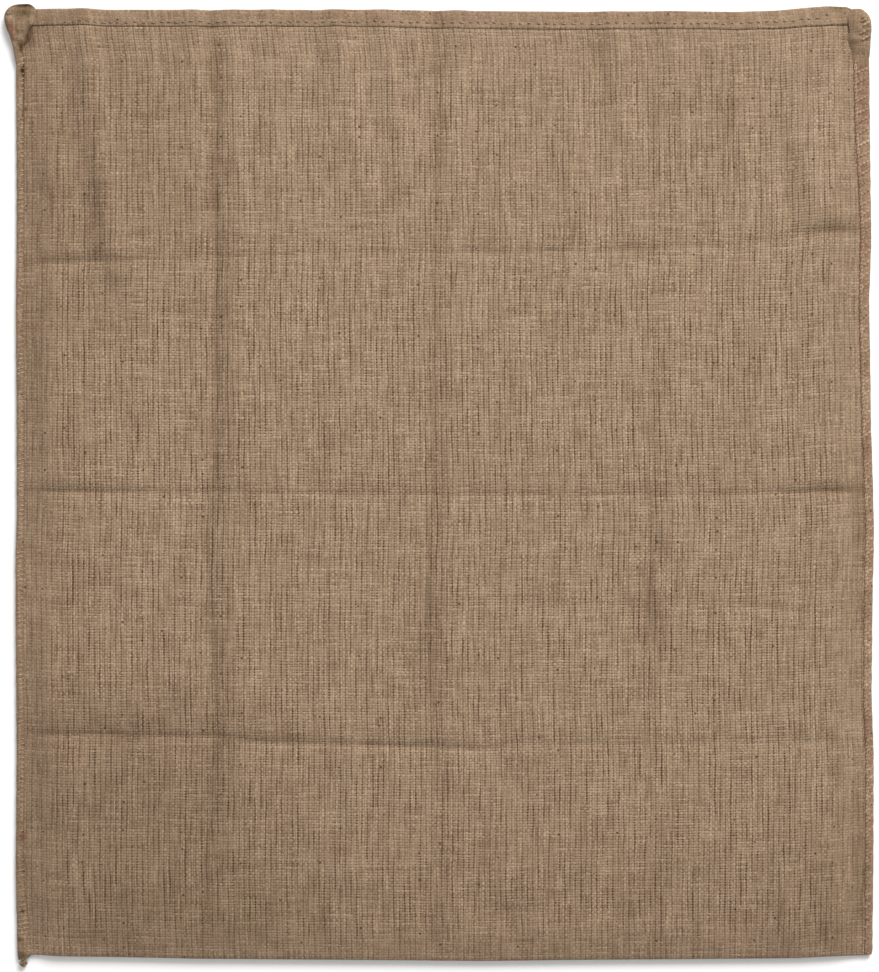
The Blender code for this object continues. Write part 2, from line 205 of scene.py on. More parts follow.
RIGHT_SEAM = Line(
    RIGHT - RIGHT_FLAT,
    [(-524, 6.5), (-395, 7.7), (-300, 7.8), (-240, 5.6), (-149, 6.1), (-45, 7.9), (70, 3.9),
     (139, 2.4), (205, 0.8), (272, 2.5), (340, -0.4), (390, -3.1), (427, -4.3), (478, -5.4),
     (490, -9.0), (505, -12.0), (526, -14.0)],
)
LEFT_RISE = Line(LEFT_SEAM.home + SHOULDER, [(430, 0.0), (526, 8.0)])
RIGHT_RISE = Line(RIGHT_SEAM.home - SHOULDER, [(430, 0.0), (526, -8.0)])
LEFT_CLOTH = LEFT_EDGE._replace(home=LEFT + SEAM_WALL + EDGE_PLAY)
RIGHT_CLOTH = RIGHT_EDGE._replace(home=RIGHT - SEAM_WALL - EDGE_PLAY)
BOTTOM_LINE = Line(FOLD, [(-468, 3.6), (-420, 1.4), (-350, 0.6), (-260, -1.2), (-70, -2.8), (45, -3.8),
                          (145, -2.6), (290, -1.6), (400, -0.6), (440, 1.6), (478, 2.6)])
MOUTH_LINE = Line(MOUTH, [(-468, 0.0), (-461, 3.0), (-440, 2.6), (-400, 1.4), (-370, 0.9), (-60, 0.9),
                          (12, -0.3), (180, -1.4), (245, -0.3), (330, -1.4), (380, 0.0), (411, 3.0),
                          (440, 5.0), (467.5, 5.2), (469.3, 3.4), (470.6, 1.2), (478, -3.0)])
strays = [stray for place, stray in MOUTH_LINE.wander]
print("the mouth strays from its line, mm:", min(strays), "to", max(strays))

# %% Creases from storage, as (place along it, how deep)
DOWN = [
    Crease(
        home=-249.0,
        wander=[(-524, -11.0), (-405, -9.0), (-282, 3.0), (-190, -1.0), (-70, -7.0),
                (5, 2.0), (90, 2.0), (260, 2.0), (428, 2.0), (526, -4.0)],
        depth=[(-524, 1.2), (-300, 2.0), (-190, 2.6), (260, 3.0), (526, 2.6)],
        width=22.0,
    ),
    Crease(
        home=-5.0,
        wander=[(-524, 9.0), (-325, 9.0), (-282, -2.0), (-125, -8.0), (5, -1.0), (260, -1.0), (526, 1.0)],
        depth=[(-524, 0.8), (-282, 1.4), (-120, 2.4), (5, 1.8), (300, 1.6), (526, 1.9)],
        width=22.0,
    ),
    Crease(
        home=236.0,
        wander=[(-524, 0.0), (-282, -4.0), (-125, -4.0), (5, 2.0), (526, 2.0)],
        depth=[(-524, 0.5), (-282, 1.2), (-125, 2.2), (5, 1.6), (260, 0.8), (526, 1.0)],
        width=24.0,
    ),
]
ACROSS = [
    Crease(
        home=-285.0,
        wander=[(-468, 10.0), (-242, 6.0), (-205, 1.0), (-5, -5.0), (65, -8.0), (80, -1.0), (478, 2.0)],
        depth=[(-468, 2.6), (-400, 2.0), (-240, 1.8), (-200, 2.6), (0, 2.6),
               (80, 1.2), (300, 0.9), (478, 1.4)],
        width=20.0,
    ),
    Crease(
        home=-9.0,
        wander=[(-468, 3.0), (-300, 2.0), (0, -1.0), (300, -1.0), (400, 2.0), (478, 4.0)],
        depth=[(-468, 3.2), (-350, 2.6), (-300, 1.4), (0, 1.5), (300, 1.5),
               (400, 2.4), (430, 3.8), (478, 3.8)],
        width=18.0,
    ),
    Crease(
        home=258.0,
        wander=[(-468, -10.0), (-350, -8.0), (-242, -4.0), (-65, 0.0), (156, 2.0),
                (300, 8.0), (380, 16.0), (415, 24.0), (478, 28.0)],
        depth=[(-468, 3.2), (-350, 2.6), (-300, 0.9), (-65, 1.0), (60, 1.7), (156, 1.6),
               (300, 1.0), (400, 1.6), (425, 3.2), (478, 3.2)],
        width=20.0,
    ),
]
SHORTS = rows_of(
    Short,  # home, middle, half, slant, depth, width
    (-130.0, 145.0, 75.0, -0.02, 1.5, 18.0),
    (-138.0, 362.0, 72.0, -0.09, 1.9, 18.0),
    (-84.0, -137.0, 16.0, 0.0, 1.2, 16.0),
    (233.0, 437.0, 20.0, 0.05, 1.6, 20.0),
)
print("storage creases:", len(DOWN + ACROSS), "short ones:", len(SHORTS))

# %% Ripples down from the mouth, soft folds, and broad swells
RIDGES = rows_of(
    Ridge,  # start, end, width, height
    ((-402, 540), (-358, 250), 14, 7.0),
    ((-425, 350), (-438, 285), 12, 2.8),
    ((-272, 540), (-268, 260), 10, 2.8),
    ((-183, 540), (-188, 350), 11, 2.6),
    ((-134, 520), (-158, 340), 10, -1.9),
    ((-118, 540), (-80, 330), 12, 3.5),
    ((-66, 540), (-38, 340), 12, 3.1),
    ((20, 540), (14, 360), 13, 3.1),
    ((112, 480), (116, 400), 10, 2.1),
    ((144, 440), (142, 360), 9, 1.9),
    ((186, 540), (206, 390), 12, 3.5),
    ((330, 440), (338, 290), 11, 3.7),
    ((358, 500), (362, 300), 11, 2.3),
    ((388, 460), (412, 290), 12, 3.5),
    ((-329, 250), (-326, 90), 20, 2.6),
    ((172, 240), (166, 110), 14, 2.1),
    ((338, 280), (334, 170), 9, 1.6),
    ((-404, -320), (-394, -500), 14, 3.3),
    ((-94, -300), (-102, -420), 13, 3.7),
    ((52, -330), (70, -440), 17, 3.5),
    ((168, -320), (166, -420), 12, 2.3),
    ((268, -350), (278, -420), 18, 2.8),
    ((458, -300), (444, -350), 12, 3.5),
    ((384, -440), (392, -510), 14, 2.6),
)
BANK_OFF, BANK_WIDTH, BANK_SHARE = 24.0, 12.0, 0.7
SWELLS = rows_of(
    Swell,  # x, y, half_x, half_y, height
    (-342, -226, 120, 30, 1.2),
    (-436, 322, 20, 50, -1.6),
    (-392, -480, 40, 32, -1.5),
    (-6, -496, 16, 24, -1.6),
    (-130, -490, 14, 30, -1.2),
    (80, -482, 14, 26, -1.2),
    (325, -480, 34, 16, -1.4),
    (426, -490, 22, 22, -2.0),
    (-347, -460, 24, 40, 1.0),
)
COLUMN_LINES = [LEFT_CLOTH, LEFT_SEAM, LEFT_RISE, *DOWN, RIGHT_RISE, RIGHT_SEAM, RIGHT_CLOTH]
ROW_LINES = [BOTTOM_LINE, *ACROSS, MOUTH_LINE]
print("ripples and folds:", len(RIDGES), "swells and hollows:", len(SWELLS))

# %% Reading the tables
def mix(a, b, share):
    return a + (b - a) * share


def ease(share):
    """0 to 1 with soft ends, held at both."""
    share = min(max(share, 0.0), 1.0)
    return share * share * (3.0 - 2.0 * share)


def read(table, at):
    """The value of a table of (place, value) at a place, held past both ends."""
    if at <= table[0][0]:
        return table[0][1]
    for (start, low), (end, high) in zip(table, table[1:]):
        if at <= end:
            return mix(low, high, (at - start) / (end - start))
    return table[-1][1]


def carried(lines, home, at):
    """How far the thread at home is carried by the lines on either side of it."""
    if home <= lines[0].home:
        return read(lines[0].wander, at)
    for low, high in zip(lines, lines[1:]):
        if home <= high.home:
            share = (home - low.home) / (high.home - low.home)
            return mix(read(low.wander, at), read(high.wander, at), share)
    return read(lines[-1].wander, at)


def lying_at(x, y):
    """Where the thread crossing x, y of the cloth lies on the floor plan."""
    return x + carried(COLUMN_LINES, x, y), y + carried(ROW_LINES, y, x)


def unevenness(x, y, size):
    """Smooth noise from -1 to 1, with bumps about as wide as size."""
    return 2.0 * noise.noise(Vector((x / size, y / size, size)))


print("middle of the left edge, mm:", [round(size, 1) for size in lying_at(LEFT, 0.0)])

# %% [markdown]
# ## Height of the two plies
# A pressed fold in hessian is a soft trough some 40 mm wide with a narrow, harder line in it,
# where the yarns took a set. The first shape has the size of the solid's. The narrow line, the
# puckers that the side sewing draws in and the gentle unevenness of slack cloth are added here,
# because they are only visible close to.

# %% Form of a crease
def fold_form(off, width):
    """A crease's section: 1 along its line, falling to 0 where it has reached its width."""
    return max(0.0, 1.0 - abs(off) / width) ** 2


def crease_depth(x, y, width_share=1.0):
    """How deep the storage creases are at a place. They are never deeper than the deepest there."""
    def deepest(folds, off_from, along):
        return max(read(fold.depth, along) * fold_form(off_from - fold.home, fold.width * width_share)
                   for fold in folds)
    return deepest(DOWN, x, y) + deepest(ACROSS, y, x)


print("creases where two of them cross, mm:", round(crease_depth(DOWN[1].home, ACROSS[1].home), 2))

# %% Broad relief of the upper ply
RIDGE_FADE = 34.0
RIDGE_ENDS = 3


def ridge_height(ridge, x, y):
    """A soft straight ridge between two places, which fades out past both of them."""
    (x0, y0), (x1, y1) = ridge.start, ridge.end
    long = math.hypot(x1 - x0, y1 - y0)
    along = ((x - x0) * (x1 - x0) + (y - y0) * (y1 - y0)) / long
    off = ((x - x0) * (y1 - y0) - (y - y0) * (x1 - x0)) / long / ridge.width
    if abs(off) > RIDGE_ENDS:
        return 0.0
    fade = ease(1 + along / RIDGE_FADE) * ease(1 + (long - along) / RIDGE_FADE)
    return ridge.height * fade * math.exp(-off * off)


def relief(x, y):
    """Creases, ridges and broad forms of the upper ply."""
    height = -crease_depth(x, y)
    for short in SHORTS:
        off = y - short.home - short.slant * (x - short.middle)
        fade = ease(1.5 - abs(x - short.middle) / short.half)
        height -= short.depth * fade * fold_form(off, short.width)
    for crease in DOWN:
        off = (x - crease.home - BANK_OFF) / BANK_WIDTH
        height += BANK_SHARE * read(crease.depth, y) * math.exp(-off * off)
    height += sum(ridge_height(ridge, x, y) for ridge in RIDGES)
    for swell in SWELLS:
        off = ((x - swell.x) / swell.half_x) ** 2 + ((y - swell.y) / swell.half_y) ** 2
        height += swell.height * math.exp(-off)
    return height


print("relief where two creases cross, mm:", round(relief(DOWN[1].home, ACROSS[1].home), 2))

# %% Fine relief of the upper ply
CRISP_WIDTH = 5.5
CRISP_SHARE = 0.34
# Slack of the cloth, as (size of its bumps, how far they are drawn out along y, height).
SLACK = [(26.0, 0.2, 0.16), (12.0, 0.25, 0.07)]
PUCKER_STEP, PUCKER_REACH, PUCKER_HEIGHT = 17.0, 30.0, 0.5


def fine_relief(x, y):
    """What shows only close to: the hard line of each crease, slack of the cloth between them, and
    puckers along the sewing."""
    height = -CRISP_SHARE * crease_depth(x, y, CRISP_WIDTH / DOWN[0].width)
    for size, drawn_out, high in SLACK:
        height += high * unevenness(x, drawn_out * y, size)
    from_seam = min(x - LEFT_SEAM.home, RIGHT_SEAM.home - x)
    along = y / PUCKER_STEP + 0.8 * unevenness(x, y, 90.0)
    pull = math.exp(-(from_seam / PUCKER_REACH) ** 2) * (0.6 + 0.5 * unevenness(x, y, 70.0))
    return height + PUCKER_HEIGHT * pull * math.sin(2 * math.pi * along)


print("fine relief there, mm:", round(fine_relief(DOWN[1].home, ACROSS[1].home), 2))

# %% Height of each ply above the floor
def hem_share(y):
    """0 below the hem, 1 where its plies lie on each other."""
    return ease((y - HEM_LIFT[0]) / (HEM_LIFT[1] - HEM_LIFT[0]))


def in_from_side(x, run):
    """0 in the seam's slot, 1 where the ply lies free of it."""
    return ease(min(x - LEFT_SEAM.home, RIGHT_SEAM.home - x) / run)


def under_z(x, y):
    """The middle of the lower ply above the floor."""
    held = SEAM_FLOOR + CLEAR + SHEET / 2 + HEM_RISE * hem_share(y)
    lying = SHEET / 2 + HEM_STEP * hem_share(y) + UNDER_CREASE * crease_depth(x, y)
    return mix(held, lying, in_from_side(x, UNDER_RUN))


def upper_z(x, y):
    """The middle of the upper ply above the floor."""
    held = SEAM_FLOOR + CLEAR + 1.5 * SHEET + PLY_GAP + HEM_RISE * hem_share(y)
    free = max(UPPER_Z + relief(x, y), UPPER_LOWEST) + fine_relief(x, y)
    free -= HEM_PRESS * ease((y - MOUTH + HEM_DEPTH + read(HEM_EDGE, x)) / HEM_PRESS_RUN + 1.0)
    free = mix(FOLD_Z, free, ease((y - FOLD) / FOLD_RUN))
    return mix(held, free, in_from_side(x, SIDE_RUN))


print("upper ply at the middle, mm:", round(upper_z(0, 0), 2))

# %% [markdown]
# ## The sheet of cloth
# The whole sack is one sheet: its rows run from the raw edge of the lower hem, under the sack,
# round the bottom fold and back over the top to the raw edge of the upper hem. Rows and columns
# lie closer where a crease has to bend them. A Solidify modifier gives the sheet the thickness
# of hessian. A UV map called threads holds where each point is on the flat cloth in metres, so
# the weave can be drawn to scale and follows every fold.

# %% One row of the sheet
HEM_TURN = HEM_STEP / 2
FLAP_PLAY = 0.05


def flat_row(y, height):
    """A row of the cloth where it lies flat, as a function of x."""
    def place(x):
        across, along = lying_at(x, y)
        return across, along, height(x, y)
    return place


def hem_row(share, height, side=0):
    """A row of the hem's flap, on one side of its ply, or of the ply itself where side is 0. Its
    share runs from 0 at the turn to 1 at the raw edge, and the ply goes on beyond that."""
    def place(x):
        y = MOUTH - (HEM_DEPTH + read(HEM_EDGE, x)) * share
        across, along = lying_at(x, y)
        return across, along, height(x, y) + side * mix(HEM_STEP, SHEET + FLAP_PLAY, ease(2 * share - 1))
    return place


def mouth_turn(angle, height, side):
    """A row of the hem's turn. side is 1 where the hem is turned up and -1 where it is turned down."""
    def place(x):
        across, along = lying_at(x, MOUTH)
        along += HEM_TURN * math.cos(angle) - HEM_TURN - SHEET / 2
        return across, along, height(x, MOUTH) + side * HEM_TURN * (1 + math.sin(angle))
    return place


def bottom_turn(angle):
    """A row of the bottom fold, from the lower ply at -90 degrees to the upper ply at 90."""
    def place(x):
        low, high = under_z(x, FOLD), upper_z(x, FOLD)
        turn = (high - low) / 2
        across, along = lying_at(x, FOLD)
        along += SHEET / 2 + turn * (1 - math.cos(angle))
        return across, along, low + turn * (1 + math.sin(angle))
    return place


print("turn of the hem, mm high:", 2 * HEM_TURN)

# %% All rows and columns
WIDEST_STEP, UNDER_STEP = 7.4, 15.0
LEAST_STEP = 1.8
CREASE_STEPS = (-17.0, -11.0, -6.0, -2.6, 0.0, 2.6, 6.0, 11.0, 17.0)
HEM_SHARES = (0.25, 0.5, 0.75, 0.88, 1.0)
BEYOND_HEM = (1.06, 1.2)
LAST_ROW = HEM_LIFT[0] + 7.0
FIRST_ROW = FOLD + FOLD_Z / 2 + 3.0
GROOVE_WIDTH = 2.4


def stations(fixed, widest):
    """The fixed places that are not too near each other, with even steps between them."""
    kept = []
    for place in sorted(fixed):
        if not kept or place - kept[-1] > LEAST_STEP:
            kept.append(place)
    found = kept[:1]
    for start, end in zip(kept, kept[1:]):
        steps = math.ceil((end - start) / widest)
        found += [mix(start, end, n / steps) for n in range(1, steps + 1)]
    return found


def turn_angles(steps):
    return [math.pi * (n / steps - 0.5) for n in range(steps + 1)]


def cloth_rows():
    """Rows from the edge of the lower hem, under the sack, to the edge of the upper one."""
    covered = (*HEM_SHARES, *BEYOND_HEM)
    creases = [crease.home + step for crease in ACROSS for step in CREASE_STEPS]
    shorts = [short.home + step for short in SHORTS for step in CREASE_STEPS[2:-2]]
    under = stations([FIRST_ROW, *creases, HEM_LIFT[0], LAST_ROW], UNDER_STEP)
    upper = stations([FIRST_ROW, *creases, *shorts, HEM_LIFT[0], LAST_ROW], WIDEST_STEP)
    rows = [hem_row(share, under_z, -1) for share in reversed(HEM_SHARES)]
    rows += [mouth_turn(a, under_z, -1) for a in reversed(turn_angles(4))]
    rows += [hem_row(share, under_z) for share in covered]
    rows += [flat_row(y, under_z) for y in reversed(under)]
    rows += [bottom_turn(a) for a in turn_angles(8)]
    rows += [flat_row(y, upper_z) for y in upper]
    rows += [hem_row(share, upper_z) for share in reversed(covered)]
    rows += [mouth_turn(a, upper_z, 1) for a in turn_angles(4)]
    rows += [hem_row(share, upper_z, 1) for share in HEM_SHARES]
    return rows


def cloth_columns():
    edges = [LEFT_CLOTH.home, LEFT_SEAM.home, RIGHT_SEAM.home, RIGHT_CLOTH.home]
    edges += [LEFT_SEAM.home + GROOVE_WIDTH * share for share in (-1, 1, 2)]
    creases = [crease.home + step for crease in DOWN for step in CREASE_STEPS]
    return stations([*edges, *creases], WIDEST_STEP)


columns = cloth_columns()
row_places = cloth_rows()
print("cloth:", len(columns), "columns,", len(row_places), "rows")

# %% Worn and stained places, with painted shade and highlights
# soil darkens the jute, with real soiling and with painted shade; below 0 it lightens, as painted highlights
# along the ripples at the mouth and as orange stains. tint turns it reddish (above 0) or greenish (below 0).
StainAndShade = namedtuple("StainAndShade", "x y half_x half_y soil tint", defaults=[0.0])
STAINS_AND_SHADE = rows_of(
    StainAndShade,  # x, y, half_x, half_y, soil, tint
    # Broad darkening of the top left.
    (-370, 390, 130, 150, 0.2),
    # Painted shade and grime along the three long creases.
    (-240, 60, 34, 420, 0.07),
    (-242, 60, 15, 420, 0.06),
    (-4, 60, 16, 440, 0.07),
    (238, -90, 16, 120, 0.1),
    # Darker along the left side.
    (-440, 0, 60, 420, 0.12),
    # Painted shade in the lowest crease across, at the left.
    (-345, -262, 130, 24, 0.2),
    # Darker and greenish towards the lower left: painted shade and greenish stains.
    (-340, -370, 150, 110, 0.28, -0.1),
    (-360, -480, 60, 40, 0.18, -0.1),
    (-220, -480, 110, 50, 0.1, -0.25),
    # Painted shade where the cloth curves down to the bottom fold.
    (60, -520, 420, 26, 0.12),
    # Painted shade at the top right, where the key light is strongest.
    (330, 440, 220, 70, 0.08),
    # Darker at the right side and the lower right.
    (445, 0, 34, 450, 0.06),
    (430, -460, 70, 60, 0.12, -0.1),
    # A pink tint on the upper hem.
    (0, 521, 440, 9, 0.04, 0.25),
    # Painted shade towards the bottom fold.
    (160, -450, 380, 70, 0.15),
    # Painted shade in creases, beside the left seam and beside a ridge.
    (438, 289, 30, 12, 0.3),
    (446, -3, 24, 6, 0.3),
    (-447, 140, 14, 75, 0.22),
    (-362, 215, 22, 45, 0.14),
    (-137, -82, 18, 9, 0.2),
    (234, -138, 15, 22, 0.2),
    (-121, -213, 8, 13, 0.25),
    (-10, -135, 7, 45, 0.25),
    # Along the ripples at the mouth: painted shade above 0 and painted highlights below 0.
    (-377, 318, 10, 42, 0.32),
    (-348, 350, 12, 65, -0.12),
    (-212, 400, 10, 90, -0.13),
    (424, 370, 11, 70, -0.12),
    (29, 390, 8, 38, -0.1),
    (-92, 400, 8, 38, -0.08),
    (-436, 325, 10, 22, 0.2),
    (185, 440, 7, 45, 0.2),
    (319, 394, 7, 22, 0.22),
    (386, 370, 8, 38, 0.2),
    # Painted shade beside ridges and in the hollows near the bottom fold.
    (442, -318, 11, 24, 0.25),
    (333, -482, 24, 11, 0.2),
    (430, -493, 26, 12, 0.3),
    (-6, -497, 10, 14, 0.3),
    (-386, -494, 13, 15, 0.25),
    (-130, -480, 9, 22, 0.2),
    (85, -478, 9, 22, 0.2),
    (379, -474, 2.2, 22, 0.7, 0.2),
    # Darker round the mouth corners.
    (-465, 508, 18, 26, 0.28),
    (465, 503, 15, 28, 0.22),
    # Painted shadow in the gap at the inner edge of the left corner lump.
    (-455.5, 497, 2.6, 8, 1.0, 0.2),
    (-463.2, 486, 2.6, 6, 1.1, 0.3),
    # Stains and tints on the knot, the left corner and the left sewing.
    (-461.4, -531, 6, 4.5, 0.4),
    (-458, 524, 10, 4.5, 0.1, -1.5),
    (-474, 522, 6, 6, 0.0, -0.7),
    (-473, 508, 4.5, 13, -0.7, 1.5),
    (-459, 532.5, 14, 3.2, 1.4, 0.2),
    (-463, -450, 9, 85, 0.25),
    (-481, 518, 2.4, 16, 0.8),
    # Painted shadow at the inner edge of the left corner lump.
    (-452, 505, 3, 8, 0.5, 0.1),
    # Dark marks and tints along the seams and at the right corner.
    (-462.4, 461, 2.4, 4.5, 1.2, 0.7),
    (-461.5, -390, 4, 6, -0.2, 1.1),
    (-461.8, -472, 2, 2, 1.1, 0.2),
    (-465, -503.5, 3, 2.5, 0.9, 0.4),
    (-463, -521, 6, 5, 0.2, -1.0),
    (441, 529, 10, 4, 0.0, -1.2),
    (475, 506, 4, 12, 0.0, -0.9),
    (472, 440, 8, 50, 0.0, 0.4),
    (468, -50, 5, 80, 0.1, -0.6),
    (468, -410, 6, 75, 0.1, -0.5),
    (467, -56, 6, 6, 0.6),
)
print("worn and stained places:", len(STAINS_AND_SHADE))

# %% Wear, soiling and painted shade at a place
# How much darker the creases are: grime in the fold and painted shade.
CREASE_GRIME_AND_SHADE = 0.1
# A painted shadow along the left seam, where the cloth meets the rolled edge, as (y, strength).
LEFT_GROOVE_SHADOW = [(-525, 0.15), (300, 0.25), (380, 0.5), (405, 0.9), (470, 0.9), (478, 0.0)]
HEM_RUBBED, SIDE_RUBBED, END_RUBBED, MOUTH_RUBBED = 0.92, 0.58, 0.5, 0.26
SIDE_RUB_REACH, END_RUB_REACH, RUB_RUN = 62.0, 46.0, 30.0
MOUTH_END_RUN, MOUTH_RUB_RUN = (410.0, 60.0), (190.0, 100.0)


def stain_and_shade_at(x, y):
    """How soiled the jute is, with painted shade and painted highlights, and how tinted it is at a place of
    the floor plan.
    """
    soil, tint = 0.0, 0.0
    for marked_place in STAINS_AND_SHADE:
        share = math.exp(-((x - marked_place.x) / marked_place.half_x) ** 2 - ((y - marked_place.y) / marked_place.half_y) ** 2)
        soil += marked_place.soil * share
        tint += marked_place.tint * share
    return soil, tint


def worn_down(x, y):
    """How far the weave of the cloth is rubbed away: most on the hem, then along the seams and folds."""
    def past(start, run):
        return ease((y - start) / run)
    near_side = ease((SIDE_RUB_REACH - min(x - LEFT, RIGHT - x)) / RUB_RUN)
    near_end = max(past(*MOUTH_END_RUN), ease((FOLD + END_RUB_REACH - y) / RUB_RUN))
    return max(HEM_RUBBED * past(HEM_LIFT[1] - 2.0, 2.0), SIDE_RUBBED * near_side,
               END_RUBBED * near_end, MOUTH_RUBBED * past(*MOUTH_RUB_RUN))


print("worn down in the middle and on the hem:", worn_down(0.0, 0.0), worn_down(0.0, MOUTH))

# %% A mesh and a finished piece
def grid_mesh(name, rows, uvs, closed=False):
    """A mesh of four-sided faces through rows of points in mm, with a UV map of its own. Where the
    rows are closed rings, it gets a face at both ends."""
    width = len(rows[0])
    mesh = bpy.data.meshes.new(name)
    last = width if closed else width - 1
    faces = [
        (r * width + c, r * width + (c + 1) % width, (r + 1) * width + (c + 1) % width, (r + 1) * width + c)
        for r in range(len(rows) - 1) for c in range(last)
    ]
    if closed:
        faces += [tuple(reversed(range(width))), tuple((len(rows) - 1) * width + c for c in range(width))]
    mesh.from_pydata([[size * MM for size in point] for row in rows for point in row], [], faces)
    layer = mesh.uv_layers.new(name="threads")
    flat_uvs = [uv for row in uvs for uv in row]
    for loop in mesh.loops:
        layer.data[loop.index].uv = flat_uvs[loop.vertex_index]
    mesh.shade_smooth()
    return mesh


def finish_piece(name, mesh, material, replaced=()):
    """Places a mesh as a piece of the sack, which rides with the sack's one body."""
    piece = bpy.data.objects.new(name, mesh)
    bpy.context.scene.collection.objects.link(piece)
    mesh.materials.append(material)
    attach(piece, BODY)
    if replaced:
        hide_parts(*replaced)
    print(name, "has", len(mesh.polygons), "faces")
    return piece


def mark(mesh, name, values):
    """Stores one number for each vertex, which a material can read."""
    mesh.attributes.new(name, "FLOAT", "POINT").data.foreach_set("value", values)


def mark_stains_and_shade(mesh, low=0.0, high=0.0, seed=0.0, rubbed=0.0):
    """Marks soiling with painted shade, tint and how far the weave is rubbed away. On top of the stains and
    painted shade, the tint changes slowly along a piece from low to high."""
    stains_and_shade = [stain_and_shade_at(vert.co.x / MM, vert.co.y / MM) for vert in mesh.vertices]
    slow = [mix(low, high, 0.5 + 0.5 * unevenness(vert.co.y / MM, seed, 60.0)) for vert in mesh.vertices]
    mark(mesh, "soil", [soil for soil, tint in stains_and_shade])
    mark(mesh, "tint", [tint + more for (soil, tint), more in zip(stains_and_shade, slow)])
    mark(mesh, "rubbed", [rubbed] * len(mesh.vertices))


print("pieces ride with:", BODY)

# %% Points of the sheet
cloth_points = [[place(x) for x in columns] for place in row_places]
middle = len(columns) // 2
travelled = [0.0]
for here, ahead in zip(cloth_points, cloth_points[1:]):
    travelled.append(travelled[-1] + (Vector(ahead[middle]) - Vector(here[middle])).length)
print("cloth from hem to hem, mm:", round(travelled[-1]))

# %% Threads and wear of the sheet
turn_row = min(range(len(row_places)), key=lambda r: cloth_points[r][middle][1])
SIDE_LINES, END_LINES = [LEFT_CLOTH, RIGHT_CLOTH], [BOTTOM_LINE, MOUTH_LINE]


def thread_place(r, c):
    """Where a point is on the flat cloth. Threads bend with the edges but run straight through a crease."""
    x, y = cloth_points[r][c][:2]
    home_y = cloth_points[r][middle][1]
    bend = carried(END_LINES, home_y, columns[c]) - carried(END_LINES, home_y, columns[middle])
    side = 1 if r > turn_row else -1
    flat_x = x - carried(SIDE_LINES, columns[c], home_y)
    return flat_x * MM, (travelled[r] + side * (y - home_y - bend)) * MM


cloth_uvs = [[thread_place(r, c) for c in range(len(columns))] for r in range(len(row_places))]
cloth_mesh = grid_mesh("hessian_cloth", cloth_points, cloth_uvs)
stains_and_shade = [stain_and_shade_at(x, y) for row in cloth_points for x, y, z in row]
# Darker along the creases, with grime in the fold and painted shade, and a painted shadow beside the left
# rolled edge.
crease_and_groove_shade = [
    CREASE_GRIME_AND_SHADE * crease_depth(home, row[middle][1], 0.5)
    + read(LEFT_GROOVE_SHADOW, row[middle][1]) * ease(1.0 - (home - LEFT_SEAM.home) / GROOVE_WIDTH)
    for row in cloth_points for home in columns
]
mark(cloth_mesh, "soil", [soil + fold_and_groove_shade for (soil, tint), fold_and_groove_shade in zip(stains_and_shade, crease_and_groove_shade)])
mark(cloth_mesh, "rubbed", [worn_down(home, row[middle][1]) for row in cloth_points for home in columns])
mark(cloth_mesh, "tint", [tint for soil, tint in stains_and_shade])
print("sheet:", len(cloth_mesh.vertices), "points, most soil", round(max(soil for soil, tint in stains_and_shade), 2))

# %% [markdown]
# ## Hessian
# Hessian is a plain weave of thick single jute yarns. Jute is the bast fibre of a plant, retted
# in water and left its natural golden brown. It has no gloss but a faint bloom of loose fibre.
# The yarns are uneven: thick slubs, thin places, dark bits of bark. In this cloth the warp
# comes through the reed in pairs, which leaves a wider gap beside every second yarn.
# The weave is worked out from the thread count at each point. The nearer a point is to the
# middle of its yarn, the higher it stands, and whichever of the two yarns stands higher is seen.

# %% Yarns of the weave
WARP_STEP, WEFT_STEP = 0.00294, 0.00305
PAIRING = 0.17
STRAY = 0.7
CRIMP = 0.5
YARN_SHADES = ("#806953", "#A99178")
GAP_PAINTED_SHADE = "#553715"
BARK_SHADE = "#3F2A1A"
DIRT_AND_SHADE_COLOUR = "#ACA08C"
GREEN_SHADE = "#98955F"
RED_SHADE = "#C6947A"

hessian, tree, cloth_shader = new_material("hessian")
threads = add_node(tree, "UVMap", uv_map="threads")
place = add_node(tree, "SeparateXYZ", [threads])
across_x, along_y = place.outputs["X"], place.outputs["Y"]


def patches(across, along, detail, spread=None):
    """Unevenness with so many patches to a metre, across and along the cloth. Where a spread is
    given, its first two numbers are turned to its last two."""
    stretched = add_node(tree, "VectorMath", [threads, (across, along, 0.0)], operation="MULTIPLY")
    values = {"Vector": stretched, "Scale": 1.0, "Detail": detail}
    uneven = add_node(tree, "TexNoise", values, noise_dimensions="2D")
    return add_node(tree, "MapRange", [uneven, *spread]) if spread else uneven


def thread_count(position, step, strays, pairing):
    """Counts yarns across the cloth. Each yarn strays a little, and pairs of them close up."""
    evenly = add_node(tree, "Math", [position, 1 / step], operation="MULTIPLY")
    counted = add_node(tree, "Math", [strays, STRAY, evenly], operation="MULTIPLY_ADD")
    half_turn = add_node(tree, "Math", [counted, math.pi], operation="MULTIPLY")
    swing = add_node(tree, "Math", [half_turn], operation="SINE")
    return add_node(tree, "Math", [swing, pairing, counted], operation="MULTIPLY_ADD")


warp_count = thread_count(across_x, WARP_STEP, patches(150.0, 26.0, 1.0), PAIRING)
weft_count = thread_count(along_y, WEFT_STEP, patches(48.0, 150.0, 1.0), 0.0)
print("yarns across the sack:", round((RIGHT - LEFT) * MM / WARP_STEP))

# %% One family of yarns
YARN_LENGTH_SPOTS = 24.0
YARN_APART = 3.7


